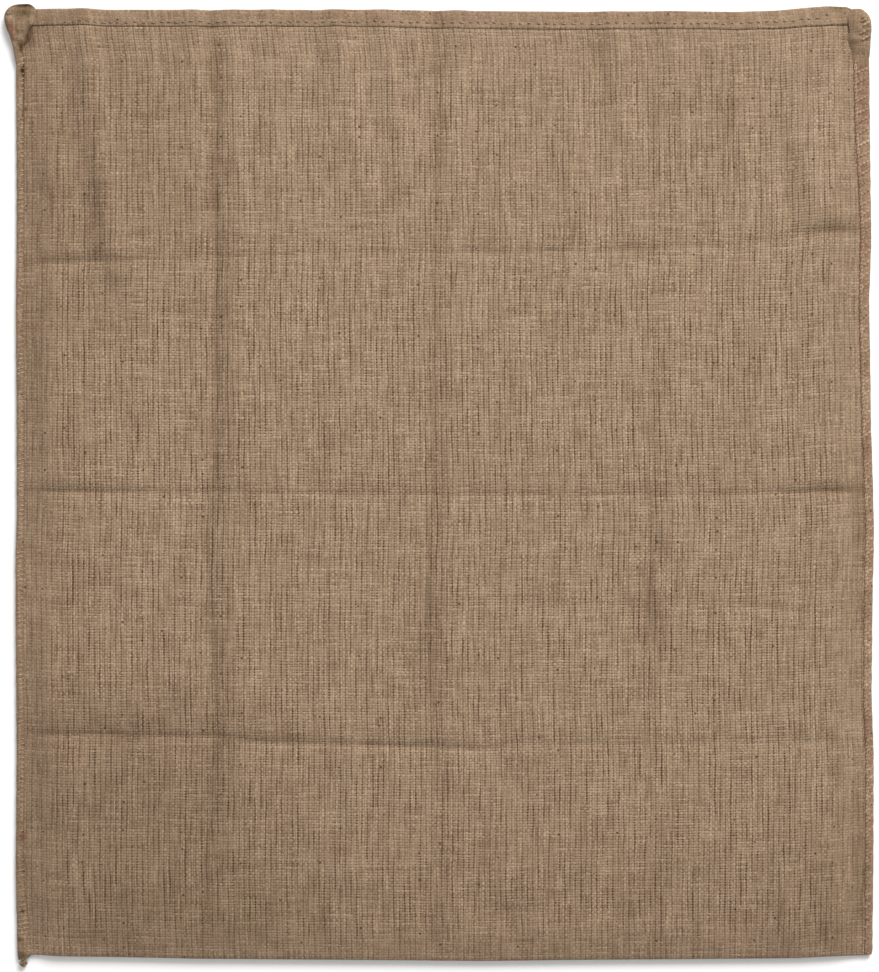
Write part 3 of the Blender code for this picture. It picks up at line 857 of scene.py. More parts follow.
def yarns(count, crossing, way, seed):
    """Wave, roundness, tone and lift of one family of yarns. crossing counts the yarns across it."""
    number = add_node(tree, "Math", [count], operation="FLOOR")
    share = add_node(tree, "Math", [count], operation="FRACT")
    off = add_node(tree, "Math", [share, 0.5], operation="SUBTRACT")
    apart = add_node(tree, "Math", [number, YARN_APART, seed], operation="MULTIPLY_ADD")
    along = add_node(tree, "Math", [way, YARN_LENGTH_SPOTS], operation="MULTIPLY")
    spot = add_node(tree, "CombineXYZ", [apart, along, 0.0])
    uneven = add_node(tree, "TexNoise", {"Vector": spot, "Scale": 1.0, "Detail": 3.0, "Roughness": 0.6},
                      noise_dimensions="2D")
    channels = add_node(tree, "SeparateColor", [uneven.outputs["Color"]])
    half = add_node(tree, "MapRange", [uneven, 0.3, 0.7, 0.33, 0.54])
    tone = add_node(tree, "MapRange", [channels.outputs["Green"], 0.28, 0.72, 0.0, 1.0])
    lift = add_node(tree, "MapRange", [channels.outputs["Blue"], 0.3, 0.7, -0.2, 0.2])
    out = add_node(tree, "Math", [off, half], operation="DIVIDE")
    square = add_node(tree, "Math", [out, out], operation="MULTIPLY")
    left = add_node(tree, "Math", [1.0, square], operation="SUBTRACT", use_clamp=True)
    round_form = add_node(tree, "Math", [left], operation="SQRT")
    parity = add_node(tree, "Math", [number, math.pi], operation="MULTIPLY")
    over = add_node(tree, "Math", [parity], operation="COSINE")
    cross_turn = add_node(tree, "Math", [crossing, math.pi], operation="MULTIPLY")
    cross = add_node(tree, "Math", [cross_turn], operation="SINE")
    wave = add_node(tree, "Math", [over, cross], operation="MULTIPLY")
    return {"wave": wave, "round": round_form, "tone": tone, "lift": lift}


warp = yarns(warp_count, weft_count, along_y, 0.0)
weft = yarns(weft_count, warp_count, across_x, 41.0)
print("yarns to an inch:", round(0.0254 / WARP_STEP, 1), "by", round(0.0254 / WEFT_STEP, 1))

# %% Which yarn is seen
def yarn_height(family, crimp, favour):
    """How high the surface of a family of yarns stands: its wave, its roundness and its own lift."""
    waved = add_node(tree, "Math", [family["wave"], crimp, favour], operation="MULTIPLY_ADD")
    lifted = add_node(tree, "Math", [waved, family["lift"]], operation="ADD")
    edge = add_node(tree, "MapRange", [family["round"], 0.0, 0.35, -0.9, 0.0])
    rounded = add_node(tree, "Math", [family["round"], 0.6, edge], operation="MULTIPLY_ADD")
    return add_node(tree, "Math", [lifted, rounded], operation="ADD")


favour_warp = patches(62.0, 12.4, 2.0, (0.3, 0.7, 0.0, 0.36))
favour_weft = add_node(tree, "Math", [favour_warp, -1.0], operation="MULTIPLY")
warp_height = yarn_height(warp, CRIMP, favour_warp)
weft_height = yarn_height(weft, -CRIMP, favour_weft)
highest = add_node(tree, "Math", [warp_height, weft_height], operation="MAXIMUM")
lead = add_node(tree, "Math", [warp_height, weft_height], operation="SUBTRACT")
warp_shows = add_node(tree, "MapRange", [lead, -0.08, 0.08, 0.0, 1.0])
print("nodes of the hessian so far:", len(tree.nodes))

# %% Gaps between the pairs
# A gap is seen as a dark line for a few centimetres, then the yarns close over it again. The dark is painted
# shade in the colour; the gap also sinks the bump.
GAP_WIDTH, GAP_DEPTH = 0.13, 2.1
CROSS_GAP_WIDTH, CROSS_GAP_DEPTH = 0.2, 0.8
GAP_COVER = 0.66


def from_middle(count):
    """How far a place is from the middle of its yarn or pair, from 0 to 0.5."""
    share = add_node(tree, "Math", [count], operation="FRACT")
    off = add_node(tree, "Math", [share, 0.5], operation="SUBTRACT")
    return add_node(tree, "Math", [off], operation="ABSOLUTE")


def gap_depth(within, opening, crossing):
    """How deep a gap is. Each yarn that crosses it covers most of it."""
    clear = add_node(tree, "Math", [crossing["round"], -GAP_COVER, 1.0], operation="MULTIPLY_ADD")
    seen = add_node(tree, "Math", [opening, clear], operation="MULTIPLY")
    return add_node(tree, "Math", [within, seen], operation="MULTIPLY")


pair_count = add_node(tree, "Math", [warp_count, 0.5], operation="MULTIPLY")
in_gap = add_node(tree, "MapRange", [from_middle(pair_count), 0.0, GAP_WIDTH, 1.0, 0.0])
in_cross_gap = add_node(tree, "MapRange", [from_middle(weft_count), 0.5 - CROSS_GAP_WIDTH, 0.5, 0.0, 1.0])
gap = gap_depth(in_gap, patches(170.0, 34.0, 2.0, (0.38, 0.66, 0.0, GAP_DEPTH)), weft)
cross_gap = gap_depth(in_cross_gap, patches(95.0, 170.0, 2.0, (0.42, 0.66, 0.0, CROSS_GAP_DEPTH)), warp)
all_gaps = add_node(tree, "Math", [gap, cross_gap], operation="ADD")
weave_height = add_node(tree, "Math", [highest, all_gaps], operation="SUBTRACT")
print("widest gap, mm:", round(4 * GAP_WIDTH * WARP_STEP / MM, 2))

# %% Colour of the jute
MULTIPLIED = {"data_type": "RGBA", "blend_type": "MULTIPLY"}


def stained_and_shaded_colour(tree, colour, tint, full_tint, most):
    """A colour darkened by its piece's soiling and painted shade, and lightened by painted highlights, then
    turned red or green as far as its tint goes.
    """
    soil = add_node(tree, "Attribute", attribute_name="soil")
    soiled_and_shaded = [soil.outputs["Fac"], colour, linear(DIRT_AND_SHADE_COLOUR)]
    dyed = add_node(tree, "Mix", soiled_and_shaded, **MULTIPLIED, clamp_factor=False)
    for full, shade in ((full_tint, RED_SHADE), (-full_tint, GREEN_SHADE)):
        amount = add_node(tree, "MapRange", [tint, 0.0, full, 0.0, most])
        dyed = add_node(tree, "Mix", [amount, dyed, linear(shade)], **MULTIPLIED)
    return dyed.outputs[2]


tone = add_node(tree, "Mix", [warp_shows, weft["tone"], warp["tone"]], data_type="FLOAT")
yarn_colour = add_node(tree, "Mix", [tone, linear(YARN_SHADES[0]), linear(YARN_SHADES[1])], data_type="RGBA")
# Low places of the weave, between yarns and in the gaps, are mixed towards the gap colour: painted shade, as
# the bump casts none.
open_depth = add_node(tree, "MapRange", [weave_height, -0.65, 0.6, 0.0, 1.0])
rubbed = add_node(tree, "Attribute", attribute_name="rubbed")
calm_patch = patches(85.0, 17.0, 1.0, (0.42, 0.72, 0.0, 0.52))
calm = add_node(tree, "Math", [calm_patch, rubbed.outputs["Fac"]], operation="MAXIMUM")
depth = add_node(tree, "Mix", [calm, open_depth, 0.8], data_type="FLOAT")
shaded = add_node(tree, "Mix", [depth, linear(GAP_PAINTED_SHADE), yarn_colour], data_type="RGBA")
print("yarn shades:", *YARN_SHADES, "gap shade:", GAP_PAINTED_SHADE)

# %% Bark, fuzz, stains and painted shade
bark_spots = add_node(tree, "TexVoronoi", {"Vector": threads, "Scale": 46.0, "Randomness": 1.0},
                      voronoi_dimensions="2D")
bark_kind = add_node(tree, "SeparateColor", [bark_spots.outputs["Color"]])
bark_size = add_node(tree, "MapRange", [bark_kind, 0.5, 1.0, 0.0, 0.08])
bark_in = add_node(tree, "Math", [bark_size, bark_spots.outputs["Distance"]], operation="SUBTRACT")
bark = add_node(tree, "MapRange", [bark_in, 0.0, 0.03, 0.0, 0.85])
speckled = add_node(tree, "Mix", [bark, shaded, linear(BARK_SHADE)], data_type="RGBA")
fuzz = patches(620.0, 620.0, 2.0, (0.25, 0.75, 0.8, 1.2))
washed = patches(26.0, 5.2, 4.0, (0.3, 0.7, 0.98, 1.02))
brightness = add_node(tree, "Math", [washed, fuzz], operation="MULTIPLY")
plain = add_node(tree, "VectorMath", {"Vector": speckled, "Scale": brightness}, operation="SCALE")
tint = add_node(tree, "Attribute", attribute_name="tint")
tinted = add_node(tree, "Math", [tint.outputs["Fac"], patches(19.0, 19.0, 2.0, (0.25, 0.75, -0.12, 0.08))],
                  operation="ADD")
tree.links.new(stained_and_shaded_colour(tree, plain, tinted, 1.5, 1.0), cloth_shader.inputs["Base Color"])
print("nodes of the hessian by now:", len(tree.nodes))

# %% Surface of the jute
def jute_surface(shader, roughness, specular):
    """Plant fibre: an IOR of about 1.53, hardly any gloss, and a faint bloom of loose ends."""
    for name, value in (("Roughness", roughness), ("IOR", 1.53), ("Specular IOR Level", specular),
                        ("Sheen Weight", 0.08)):
        shader.inputs[name].default_value = value


felted = add_node(tree, "Math", [calm, 0.8], operation="MULTIPLY")
surface = add_node(tree, "Mix", [felted, weave_height, 0.4], data_type="FLOAT")
weave_bump = add_node(tree, "Bump", {"Height": surface, "Distance": 0.00054, "Strength": 1.0})
tree.links.new(weave_bump.outputs["Normal"], cloth_shader.inputs["Normal"])
jute_surface(cloth_shader, 0.92, 0.25)

cloth = finish_piece("hessian_cloth", cloth_mesh, hessian, ["sack_cloth"])
thickness = cloth.modifiers.new("thickness", "SOLIDIFY")
thickness.thickness = SHEET * MM
thickness.offset = 0.0
thickness.use_even_offset = True

# %% [markdown]
# ## Strands of twine
# The sewing is jute twine: two or three yarns twisted together, dull and hairy. A strand is made
# as a tube of rings along a smooth path. A Catmull-Rom curve is used for the path because it
# goes through the points that it is given, as a thread goes through its holes. Hundreds of
# stitches are then one mesh, which is far lighter than hundreds of objects.

# %% A smooth path
def smooth_path(points, steps):
    """A Catmull-Rom curve through the points, with that many steps between two of them."""
    padded = [points[0] * 2 - points[1], *points, points[-1] * 2 - points[-2]]
    found = []
    for a, b, c, d in zip(padded, padded[1:], padded[2:], padded[3:]):
        for n in range(steps):
            t = n / steps
            found.append(0.5 * (2 * b + (c - a) * t + (2 * a - 5 * b + 4 * c - d) * t ** 2
                                + (3 * b - a - 3 * c + d) * t ** 3))
    return [*found, padded[-2]]


print("points on a path through three:", len(smooth_path([Vector((n, 0, 0)) for n in range(3)], 4)))

# %% Tubes along a path
Strand = namedtuple("Strand", "points radius")
FIRST_UP = Vector((0.13, 0.21, 0.97))
TIP_SHARE = 0.35


def tube_rings(strand, sides):
    """Rings of points round a strand, which close to a small end at both tips, and their UVs."""
    points = strand.points
    up = FIRST_UP
    rings, uvs, way = [], [], 0.0
    for n, point in enumerate(points):
        ahead = (points[min(n + 1, len(points) - 1)] - points[max(n - 1, 0)]).normalized()
        side = ahead.cross(up).normalized()
        up = side.cross(ahead)
        radius = strand.radius * (TIP_SHARE if n in (0, len(points) - 1) else 1.0)
        way += (point - points[max(n - 1, 0)]).length
        turns = [2 * math.pi * s / sides for s in range(sides)]
        rings.append([point + radius * (math.cos(turn) * side + math.sin(turn) * up) for turn in turns])
        uvs.append([(s / sides, way * MM) for s in range(sides)])
    return rings, uvs


def strand_mesh(name, strands, sides):
    """One mesh of closed tubes. Its UV map, strand, runs round the tube and along it in metres."""
    verts, faces, uvs = [], [], []
    for strand in strands:
        rings, ring_uvs = tube_rings(strand, sides)
        first = len(verts)
        verts += [point * MM for ring in rings for point in ring]
        uvs += [uv for ring in ring_uvs for uv in ring]
        for r in range(len(rings) - 1):
            low, high = first + r * sides, first + (r + 1) * sides
            pairs = [(s, (s + 1) % sides) for s in range(sides)]
            faces += [(low + s, low + t, high + t, high + s) for s, t in pairs]
        faces.append(tuple(first + s for s in reversed(range(sides))))
        faces.append(tuple(len(verts) - sides + s for s in range(sides)))
    mesh = bpy.data.meshes.new(name)
    mesh.from_pydata(verts, [], faces)
    layer = mesh.uv_layers.new(name="strand")
    for face in mesh.polygons:
        wraps = any(uvs[v][0] == 0.0 for v in face.vertices) and any(uvs[v][0] > 0.6 for v in face.vertices)
        for loop, v in zip(face.loop_indices, face.vertices):
            around, along = uvs[v]
            layer.data[loop].uv = (1.0 if wraps and around == 0.0 else around, along)
    mesh.shade_smooth()
    print(name, "has", len(strands), "strands")
    return mesh

# %% [markdown]
# ## Jute twine
# Sewing twine is the same bast fibre as the cloth, laid in two plies. It is a shade warmer and
# redder than the cloth, since it isn't washed, and its fibres catch the light along the twist.
# Slanting stripes round the tube give the twist, and their dark side is painted shade between the plies. The
# UV map runs round the strand and along it.

# %% Twine material
TWIST_STEP = 0.0042
TWINE_SHADES = ("#8B7058", "#B79B7F")

twine, tree, twine_shader = new_material("jute_sewing_twine")
strand_uv = add_node(tree, "UVMap", uv_map="strand")
round_place = add_node(tree, "SeparateXYZ", [strand_uv])
twist = add_node(tree, "Math", [round_place.outputs["Y"], 1 / TWIST_STEP, round_place.outputs["X"]],
                 operation="MULTIPLY_ADD")
twist_turn = add_node(tree, "Math", [twist, 2 * math.pi], operation="MULTIPLY")
ply = add_node(tree, "Math", [twist_turn], operation="SINE")
where = add_node(tree, "TexCoord").outputs["Object"]
fibre = add_node(tree, "TexNoise", {"Vector": where, "Scale": 420.0, "Detail": 3.0})
hank_tone = add_node(tree, "TexNoise", {"Vector": where, "Scale": 70.0, "Detail": 3.0})
twine_tone = add_node(tree, "MapRange", [hank_tone, 0.3, 0.7, 0.0, 1.0])
twine_base = add_node(tree, "Mix", [twine_tone, *map(linear, TWINE_SHADES)], data_type="RGBA")
# The ply stripes darken the grooves between the plies: painted shade.
painted_ply_shade = add_node(tree, "MapRange", [ply, -1.0, 0.4, 0.78, 1.0])
fibre_shade = add_node(tree, "MapRange", [fibre, 0.25, 0.75, 0.8, 1.15])
painted_shade_and_fibre = add_node(tree, "Math", [painted_ply_shade, fibre_shade], operation="MULTIPLY")
twine_shade = add_node(tree, "VectorMath", {"Vector": twine_base, "Scale": painted_shade_and_fibre}, operation="SCALE")
twine_tint = add_node(tree, "Attribute", attribute_name="tint").outputs["Fac"]
tree.links.new(stained_and_shaded_colour(tree, twine_shade, twine_tint, 1.0, 0.8), twine_shader.inputs["Base Color"])
ply_bump = add_node(tree, "Bump", {"Height": ply, "Distance": 0.0003, "Strength": 0.9})
fibre_relief = {"Height": fibre, "Distance": 0.0003, "Strength": 0.7, "Normal": ply_bump}
fibre_bump = add_node(tree, "Bump", fibre_relief)
tree.links.new(fibre_bump.outputs["Normal"], twine_shader.inputs["Normal"])
jute_surface(twine_shader, 0.85, 0.3)
print("twine: a twist every", round(TWIST_STEP / MM, 1), "mm")

# %% [markdown]
# ## Overcast side seams
# Both side seams are overcast: the twine goes down through both plies, out round their edges
# and back over the top to the next hole. That is a flattened helix, so one table describes one
# turn and a loop repeats it from the bottom to the mouth. A little seeded chance in each turn
# keeps it from looking like a spring. The left seam is sewn straight across. The right one is
# sewn slanting, is wider towards the mouth, and has a cord of two laid strands along its holes.
# The edges of both plies are rolled in under the stitches, so they get a piece of cloth each.

# %% One turn of the sewing
Turn = namedtuple("Turn", "ahead inset height")
TURN_INSETS = (1.00, 0.90, 0.50, 0.12, 0.00, 0.16, 0.50, 0.86)
TURN_HEIGHTS = (0.50, 0.06, 0.00, 0.10, 0.45, 0.84)


def one_turn(aheads, *last_heights):
    """A turn from hole to hole: how far ahead, how far in and how high each of its points is. It
    goes down, out under the edges, up, and back over the top."""
    return rows_of(Turn, *zip(aheads, TURN_INSETS, (*TURN_HEIGHTS, *last_heights)))


STRAIGHT_TURN = one_turn((0.00, 0.10, 0.25, 0.40, 0.50, 0.58, 0.72, 0.88), 0.97, 0.86)
SLANTED_TURN = one_turn((0.00, 0.25, 0.85, 1.40, 1.65, 1.55, 1.32, 1.10), 1.00, 0.94)
BACK_TURN = one_turn((0.00, -0.03, -0.08, -0.12, -0.12, 0.02, 0.38, 0.78), 1.00, 0.94)
print("points in a turn:", len(STRAIGHT_TURN))

# %% Turn after turn along a rim
Rim = namedtuple("Rim", "x y in_x in_y reach low high")
LEFT_STITCH, RIGHT_STITCH = 5.3, 11.6
LEFT_TWINE, RIGHT_TWINE = 0.95, 1.7
SUNK, PROUD = (-0.45, -0.15), (-0.15, 0.2)
STEP_CHANCE, REACH_CHANCE = (0.86, 1.14), (0.93, 1.07)


def overcast(rim_at, start, end, step, turn, radius, rises, seed):
    """The sewing from start to end of a rim, as one strand. rim_at gives the rim at a distance, and
    rises are the least and the most that a stitch stands above the rim."""
    chance = random.Random(seed)
    points, at = [], start
    while at < end:
        here = step * chance.uniform(*STEP_CHANCE)
        reach_share, rise = chance.uniform(*REACH_CHANCE), chance.uniform(*rises)
        for row in turn:
            rim = rim_at(at + here * row.ahead)
            inset = radius + row.inset * (rim.reach * reach_share - radius)
            z = mix(rim.low + radius, rim.high - radius + rise, row.height)
            points.append(Vector((rim.x + rim.in_x * inset, rim.y + rim.in_y * inset, z)))
        at += here
    return Strand(smooth_path(points, 3), radius)


print("twine, mm thick:", 2 * LEFT_TWINE, "at the left,", 2 * RIGHT_TWINE, "at the right")

# %% Rims of the side seams
LEFT_HIGH, RIGHT_HIGH, RIM_LOW = 7.9, 7.4, 0.1
LEFT_BOTTOM, RIGHT_BOTTOM, SEAM_END = -526.5, -520.5, 480.0
LEFT_REACH = [(-526.5, 9.0), (-522.5, 13.5), (-518, 15.6), (-492, 13.5), (-459, 10.2), (-420, 8.6),
              (300, 8.0), (400, 7.5), (430, 7.8), (477, 8.8)]
RIGHT_REACH = [(-522, 8.8), (0, 9.4), (140, 10.6), (300, 12.0), (390, 16.0), (440, 17.0), (477, 17.0)]
CLOTH_TOP = SEAM_FLOOR + CLEAR + 2 * SHEET + PLY_GAP


def left_rim(y):
    return Rim(LEFT + read(LEFT_EDGE.wander, y), y, 1.0, 0.0, read(LEFT_REACH, y), RIM_LOW, LEFT_HIGH)


def right_rim(y):
    return Rim(RIGHT + read(RIGHT_EDGE.wander, y), y, -1.0, 0.0, read(RIGHT_REACH, y), RIM_LOW, RIGHT_HIGH)


print("seams at the middle, mm wide:", left_rim(0.0).reach, "and", right_rim(0.0).reach)

# %% Sewing of the side seams
CORD_RADIUS, CORD_BELOW, CORD_FROM = 1.15, 1.1, 60.0
CORD_SWING, CORD_RISE = 0.85, 0.7
CORD_STEPS = 8
SIDES = 8


def laid_cord(rim_at, start, end, lay_step):
    """Two strands twisted round each other along the holes of a seam."""
    strands = []
    for half in (0, math.pi):
        points = []
        steps = round((end - start) / (lay_step / CORD_STEPS))
        for n in range(steps + 1):
            y = mix(start, end, n / steps)
            rim = rim_at(y)
            turn = 2 * math.pi * y / lay_step + half
            inset = rim.reach - CORD_RADIUS + CORD_SWING * CORD_RADIUS * math.cos(turn)
            z = rim.high - CORD_BELOW + CORD_RISE * CORD_RADIUS * math.sin(turn)
            points.append(Vector((rim.x + rim.in_x * inset, y, z)))
        strands.append(Strand(points, CORD_RADIUS))
    return strands


left_turns = overcast(
    left_rim, LEFT_BOTTOM + 6.0, SEAM_END, LEFT_STITCH, STRAIGHT_TURN, LEFT_TWINE, SUNK, 3)
right_turns = overcast(
    right_rim, RIGHT_BOTTOM + 4.0, SEAM_END - 10.0, RIGHT_STITCH, SLANTED_TURN, RIGHT_TWINE, PROUD, 5)
right_cord = laid_cord(right_rim, RIGHT_BOTTOM + CORD_FROM, SEAM_END, 2 * RIGHT_STITCH)
for name, strands, tints, seed, replaced in (
        ("left_sewing", [left_turns], (-0.1, 0.2), 1.0, "seam_left"),
        ("right_sewing", [right_turns, *right_cord], (0.0, 0.5), 2.0, "seam_right")):
    sewing = strand_mesh(name, strands, SIDES)
    mark_stains_and_shade(sewing, *tints, seed)
    finish_piece(name, sewing, twine, [replaced])

# %% Section of a rolled edge
ROLL_STEP, ROLL_END_RUN, ROLL_END_TOP = 1.3, 7.0, 5.4
STITCH_DENT = 0.16
BELOW_STITCHES = 0.95


def edge_roll(rim_at, start, end, seed):
    """The edges of both plies, turned in and rolled together, as sections like a C that holds the
    cloth. Each point of a section is (how far in from the outer side, height)."""
    rings, uvs = [], []
    steps = round((end - start) / ROLL_STEP)
    for n in range(steps + 1):
        y = mix(start, end, n / steps)
        rim = rim_at(y)
        closing = ease((y - start) / ROLL_END_RUN)
        dent = STITCH_DENT * math.sin(2 * math.pi * y / LEFT_STITCH) + 0.35 * unevenness(y, seed, 14.0)
        reach = rim.reach + 0.5 * unevenness(y, seed, 23.0)
        top = mix(ROLL_END_TOP, rim.high - BELOW_STITCHES + dent, closing)
        outer = mix(1.0, 0.25 * (1 + unevenness(y, seed + 9.0, 11.0)), closing)
        ring = [
            (reach, CLOTH_TOP + 0.25), (0.88 * reach, mix(CLOTH_TOP, top, 0.62)), (0.66 * reach, top - 0.1),
            (0.4 * reach, top), (0.18 * reach + outer, top - 0.7), (outer, 4.9), (outer, 2.8),
            (0.16 * reach + outer, 0.9), (0.45 * reach, 0.25), (0.85 * reach, 0.3), (reach, 0.9),
            (reach, SEAM_FLOOR), (SEAM_WALL + 0.4, SEAM_FLOOR), (SEAM_WALL + 0.4, CLOTH_TOP + 0.1),
        ]
        rings.append([(rim.x + rim.in_x * inset, y, z) for inset, z in ring])
        uvs.append([((rim.x + rim.in_x * (inset + 0.6 * z)) * MM, y * MM) for inset, z in ring])
    return rings, uvs


print("sections of a rolled edge:", round((SEAM_END - LEFT_BOTTOM) / ROLL_STEP) + 1)

# %% Both rolled edges
ROLL_RUBBED = 0.9


def paint_groove_shadow(mesh, width, groove_shadow):
    """Adds a painted shadow along the line where a rolled edge meets the cloth."""
    soil = mesh.attributes["soil"].data
    for n, vert in enumerate(mesh.vertices):
        share = (1.0, 0.35)[n % width] if n % width < 2 else 0.0
        y = vert.co.y / MM
        soil[n].value += share * read(groove_shadow, y) * (1 + 0.5 * unevenness(y, width, 9.0))


def rolled_edge(name, rim_at, bottom, tints, seed, groove_shadow=None):
    """The piece that lies under the sewing of one side. Where a groove shadow is given, it is painted along
    the edge that meets the cloth.
    """
    rings, uvs = edge_roll(rim_at, bottom, SEAM_END, seed)
    mesh = grid_mesh(name, rings, uvs, closed=True)
    mark_stains_and_shade(mesh, *tints, seed, ROLL_RUBBED)
    if groove_shadow:
        paint_groove_shadow(mesh, len(rings[0]), groove_shadow)
    finish_piece(name, mesh, hessian)


# At the right no groove shadow is painted: the laid cord lies over that line.
rolled_edge("left_rolled_edge", left_rim, LEFT_BOTTOM, (0.0, 0.1), 3.0, LEFT_GROOVE_SHADOW)
rolled_edge("right_rolled_edge", right_rim, RIGHT_BOTTOM, (0.1, 0.4), 5.0)

# %% [markdown]
# ## Mouth corners
# At each end of the mouth the seam runs over four layers of hem, so the corner is gathered into
# a lump and bound. The lump is lofted through slotted sections, which keep the hems in their
# slot, and rounded by a Subdivision Surface. The binding goes on round its rim as the seam does.

# %% Tables of the mouth corners
Section = namedtuple("Section", "y outer reach top")
LEFT_LASH = rows_of(
    Section,  # y, outer, reach, top
    (466.0, -469.4, 8.2, 6.6),
    (478.0, -471.8, 9.4, 9.4),
    (488.0, -473.4, 11.0, 11.2),
    (494.0, -475.2, 18.0, 12.3),
    (500.0, -477.3, 22.3, 13.0),
    (506.0, -479.6, 25.2, 13.5),
    (512.0, -481.7, 32.0, 13.9),
    (519.0, -483.0, 35.5, 14.0),
    (524.0, -482.4, 36.5, 13.6),
    (529.0, -479.4, 32.5, 12.8),
    (532.6, -474.6, 24.0, 11.6),
    (534.6, -468.0, 13.0, 9.6),
)
RIGHT_LASH = rows_of(
    Section,  # y, outer, reach, top
    (462.0, 476.4, 15.0, 6.4),
    (478.0, 479.0, 20.5, 9.6),
    (487.0, 479.6, 23.5, 11.6),
    (494.0, 480.0, 26.6, 12.6),
    (499.0, 480.4, 27.2, 13.2),
    (504.0, 480.6, 24.8, 13.6),
    (508.5, 480.6, 25.4, 13.7),
    (516.0, 480.2, 27.0, 13.7),
    (522.0, 477.8, 24.0, 13.0),
    (526.2, 473.4, 16.2, 12.0),
    (529.4, 468.3, 9.2, 10.0),
)
print("left corner, mm high:", max(row.top for row in LEFT_LASH))

# %% Section of a corner lump
LASH_WALL, LASH_FLOOR = 3.0, 1.8
TWINE_ROOM = 0.2
FLAP_RUN = (HEM_LIFT[1] - 8.0, 6.0)
HOME_TRIES = 6


def flap_rise(y):
    """How much the hem's flap adds to the height of the cloth."""
    return HEM_STEP * ease((y - FLAP_RUN[0]) / FLAP_RUN[1])


def cloth_top(x, y):
    """The top of the cloth that lies at a place, with its hem where there is one."""
    home = x
    for _ in range(HOME_TRIES):
        home = x - carried(COLUMN_LINES, home, y)
    return upper_z(home, y) + flap_rise(y) + SHEET / 2


def lump_ring(side, row):
    """A section like a C that holds the hems: side is -1 at the left and 1 at the right. Its points
    are first (how far in from the outer side, height)."""
    reach, top = row.reach, row.top
    lip = cloth_top(row.outer - side * reach, row.y) + 0.05
    brow = cloth_top(row.outer - side * 0.86 * reach, row.y) + 0.8
    slot_top = min(CLOTH_TOP + HEM_RISE * hem_share(row.y) + flap_rise(row.y) + TWINE_ROOM, top - 1.2)
    folds = [1.3 * unevenness(row.y, n * 7.0, 7.0) for n in range(5)]
    inward = [
        (reach, max(lip, slot_top) + 0.3), (0.97 * reach, max(lip, slot_top) + 0.6),
        (0.86 * reach, max(brow, mix(slot_top, top, 0.6) + folds[0])),
        (0.66 * reach, top + folds[1]), (0.45 * reach, top + folds[2]), (0.2 * reach, top - 0.4 + folds[3]),
        (TWINE_ROOM, mix(slot_top, top, 0.3)), (TWINE_ROOM + 0.4 * folds[4], 2.4),
        (0.15 * reach, 0.9), (0.5 * reach, 0.5), (0.85 * reach, 0.6), (reach, 1.0),
        (reach, LASH_FLOOR), (LASH_WALL, LASH_FLOOR), (LASH_WALL, slot_top),
        (0.97 * reach, max(lip, slot_top)), (reach, max(lip, slot_top)),
    ]
    return [(row.outer - side * inset, row.y, z) for inset, z in inward]


print("top of the cloth at the left corner, mm:", round(cloth_top(LEFT, MOUTH), 1))

# %% Lumps at the mouth corners
LUMP_STEP = 2.6


def lump_rows(rows):
    """Even steps between the rows of a table."""
    first, last = rows[0].y, rows[-1].y
    count = round((last - first) / LUMP_STEP)
    found = []
    for n in range(count + 1):
        y = mix(first, last, n / count)
        values = [read([(row.y, row[column]) for row in rows], y) for column in (1, 2, 3)]
        found.append(Section(y, *values))
    return found


def corner_lump(name, side, rows, replaced, tint):
    """The gathered hems at one corner of the mouth."""
    sections = [lump_ring(side, row) for row in lump_rows(rows)]
    uvs = [[((x + 0.7 * z) * MM, y * MM) for x, y, z in ring] for ring in sections]
    mesh = grid_mesh(name, sections, uvs, closed=True)
    piece = finish_piece(name, mesh, hessian, [replaced])
    mark_stains_and_shade(mesh, tint, tint, 7.0, ROLL_RUBBED)
    soft = piece.modifiers.new("rounded", "SUBSURF")
    soft.levels = soft.render_levels = 2
    return piece


corner_lump("left_corner_lump", -1, LEFT_LASH, "lashing_left", 0.05)
corner_lump("right_corner_lump", 1, RIGHT_LASH, "lashing_right", 0.15)

# %% Binding round the mouth corners
BINDING_LOW = 0.3


def rim_along(route, reach, high):
    """A rim that follows a route of (x, y) points. Its inward side is on the right of the way."""
    points = smooth_path([Vector((x, y, 0.0)) for x, y in route], 8)
    ways = [0.0]
    for here, ahead in zip(points, points[1:]):
        ways.append(ways[-1] + (ahead - here).length)

    def rim_at(way):
        way = min(max(way, 0.0), ways[-1])
        n = max(k for k in range(len(ways) - 1) if ways[k] <= way)
        share = (way - ways[n]) / (ways[n + 1] - ways[n])
        spot = points[n].lerp(points[n + 1], share)
        ahead = (points[n + 1] - points[n]).normalized()
        part = way / ways[-1]
        return Rim(spot.x, spot.y, ahead.y, -ahead.x, read(reach, part), BINDING_LOW, read(high, part))
    return rim_at, ways[-1]


LEFT_ROUTE = [(-480.6, 521.0), (-477.6, 528.6), (-472.4, 532.2), (-464.0, 533.2), (-455.0, 532.4),
              (-449.6, 529.8)]
RIGHT_ROUTE = [(464.4, 529.2), (472.0, 526.8), (477.2, 521.8), (479.8, 515.0), (480.0, 503.0), (479.2, 488.0),
               (478.4, 478.0)]
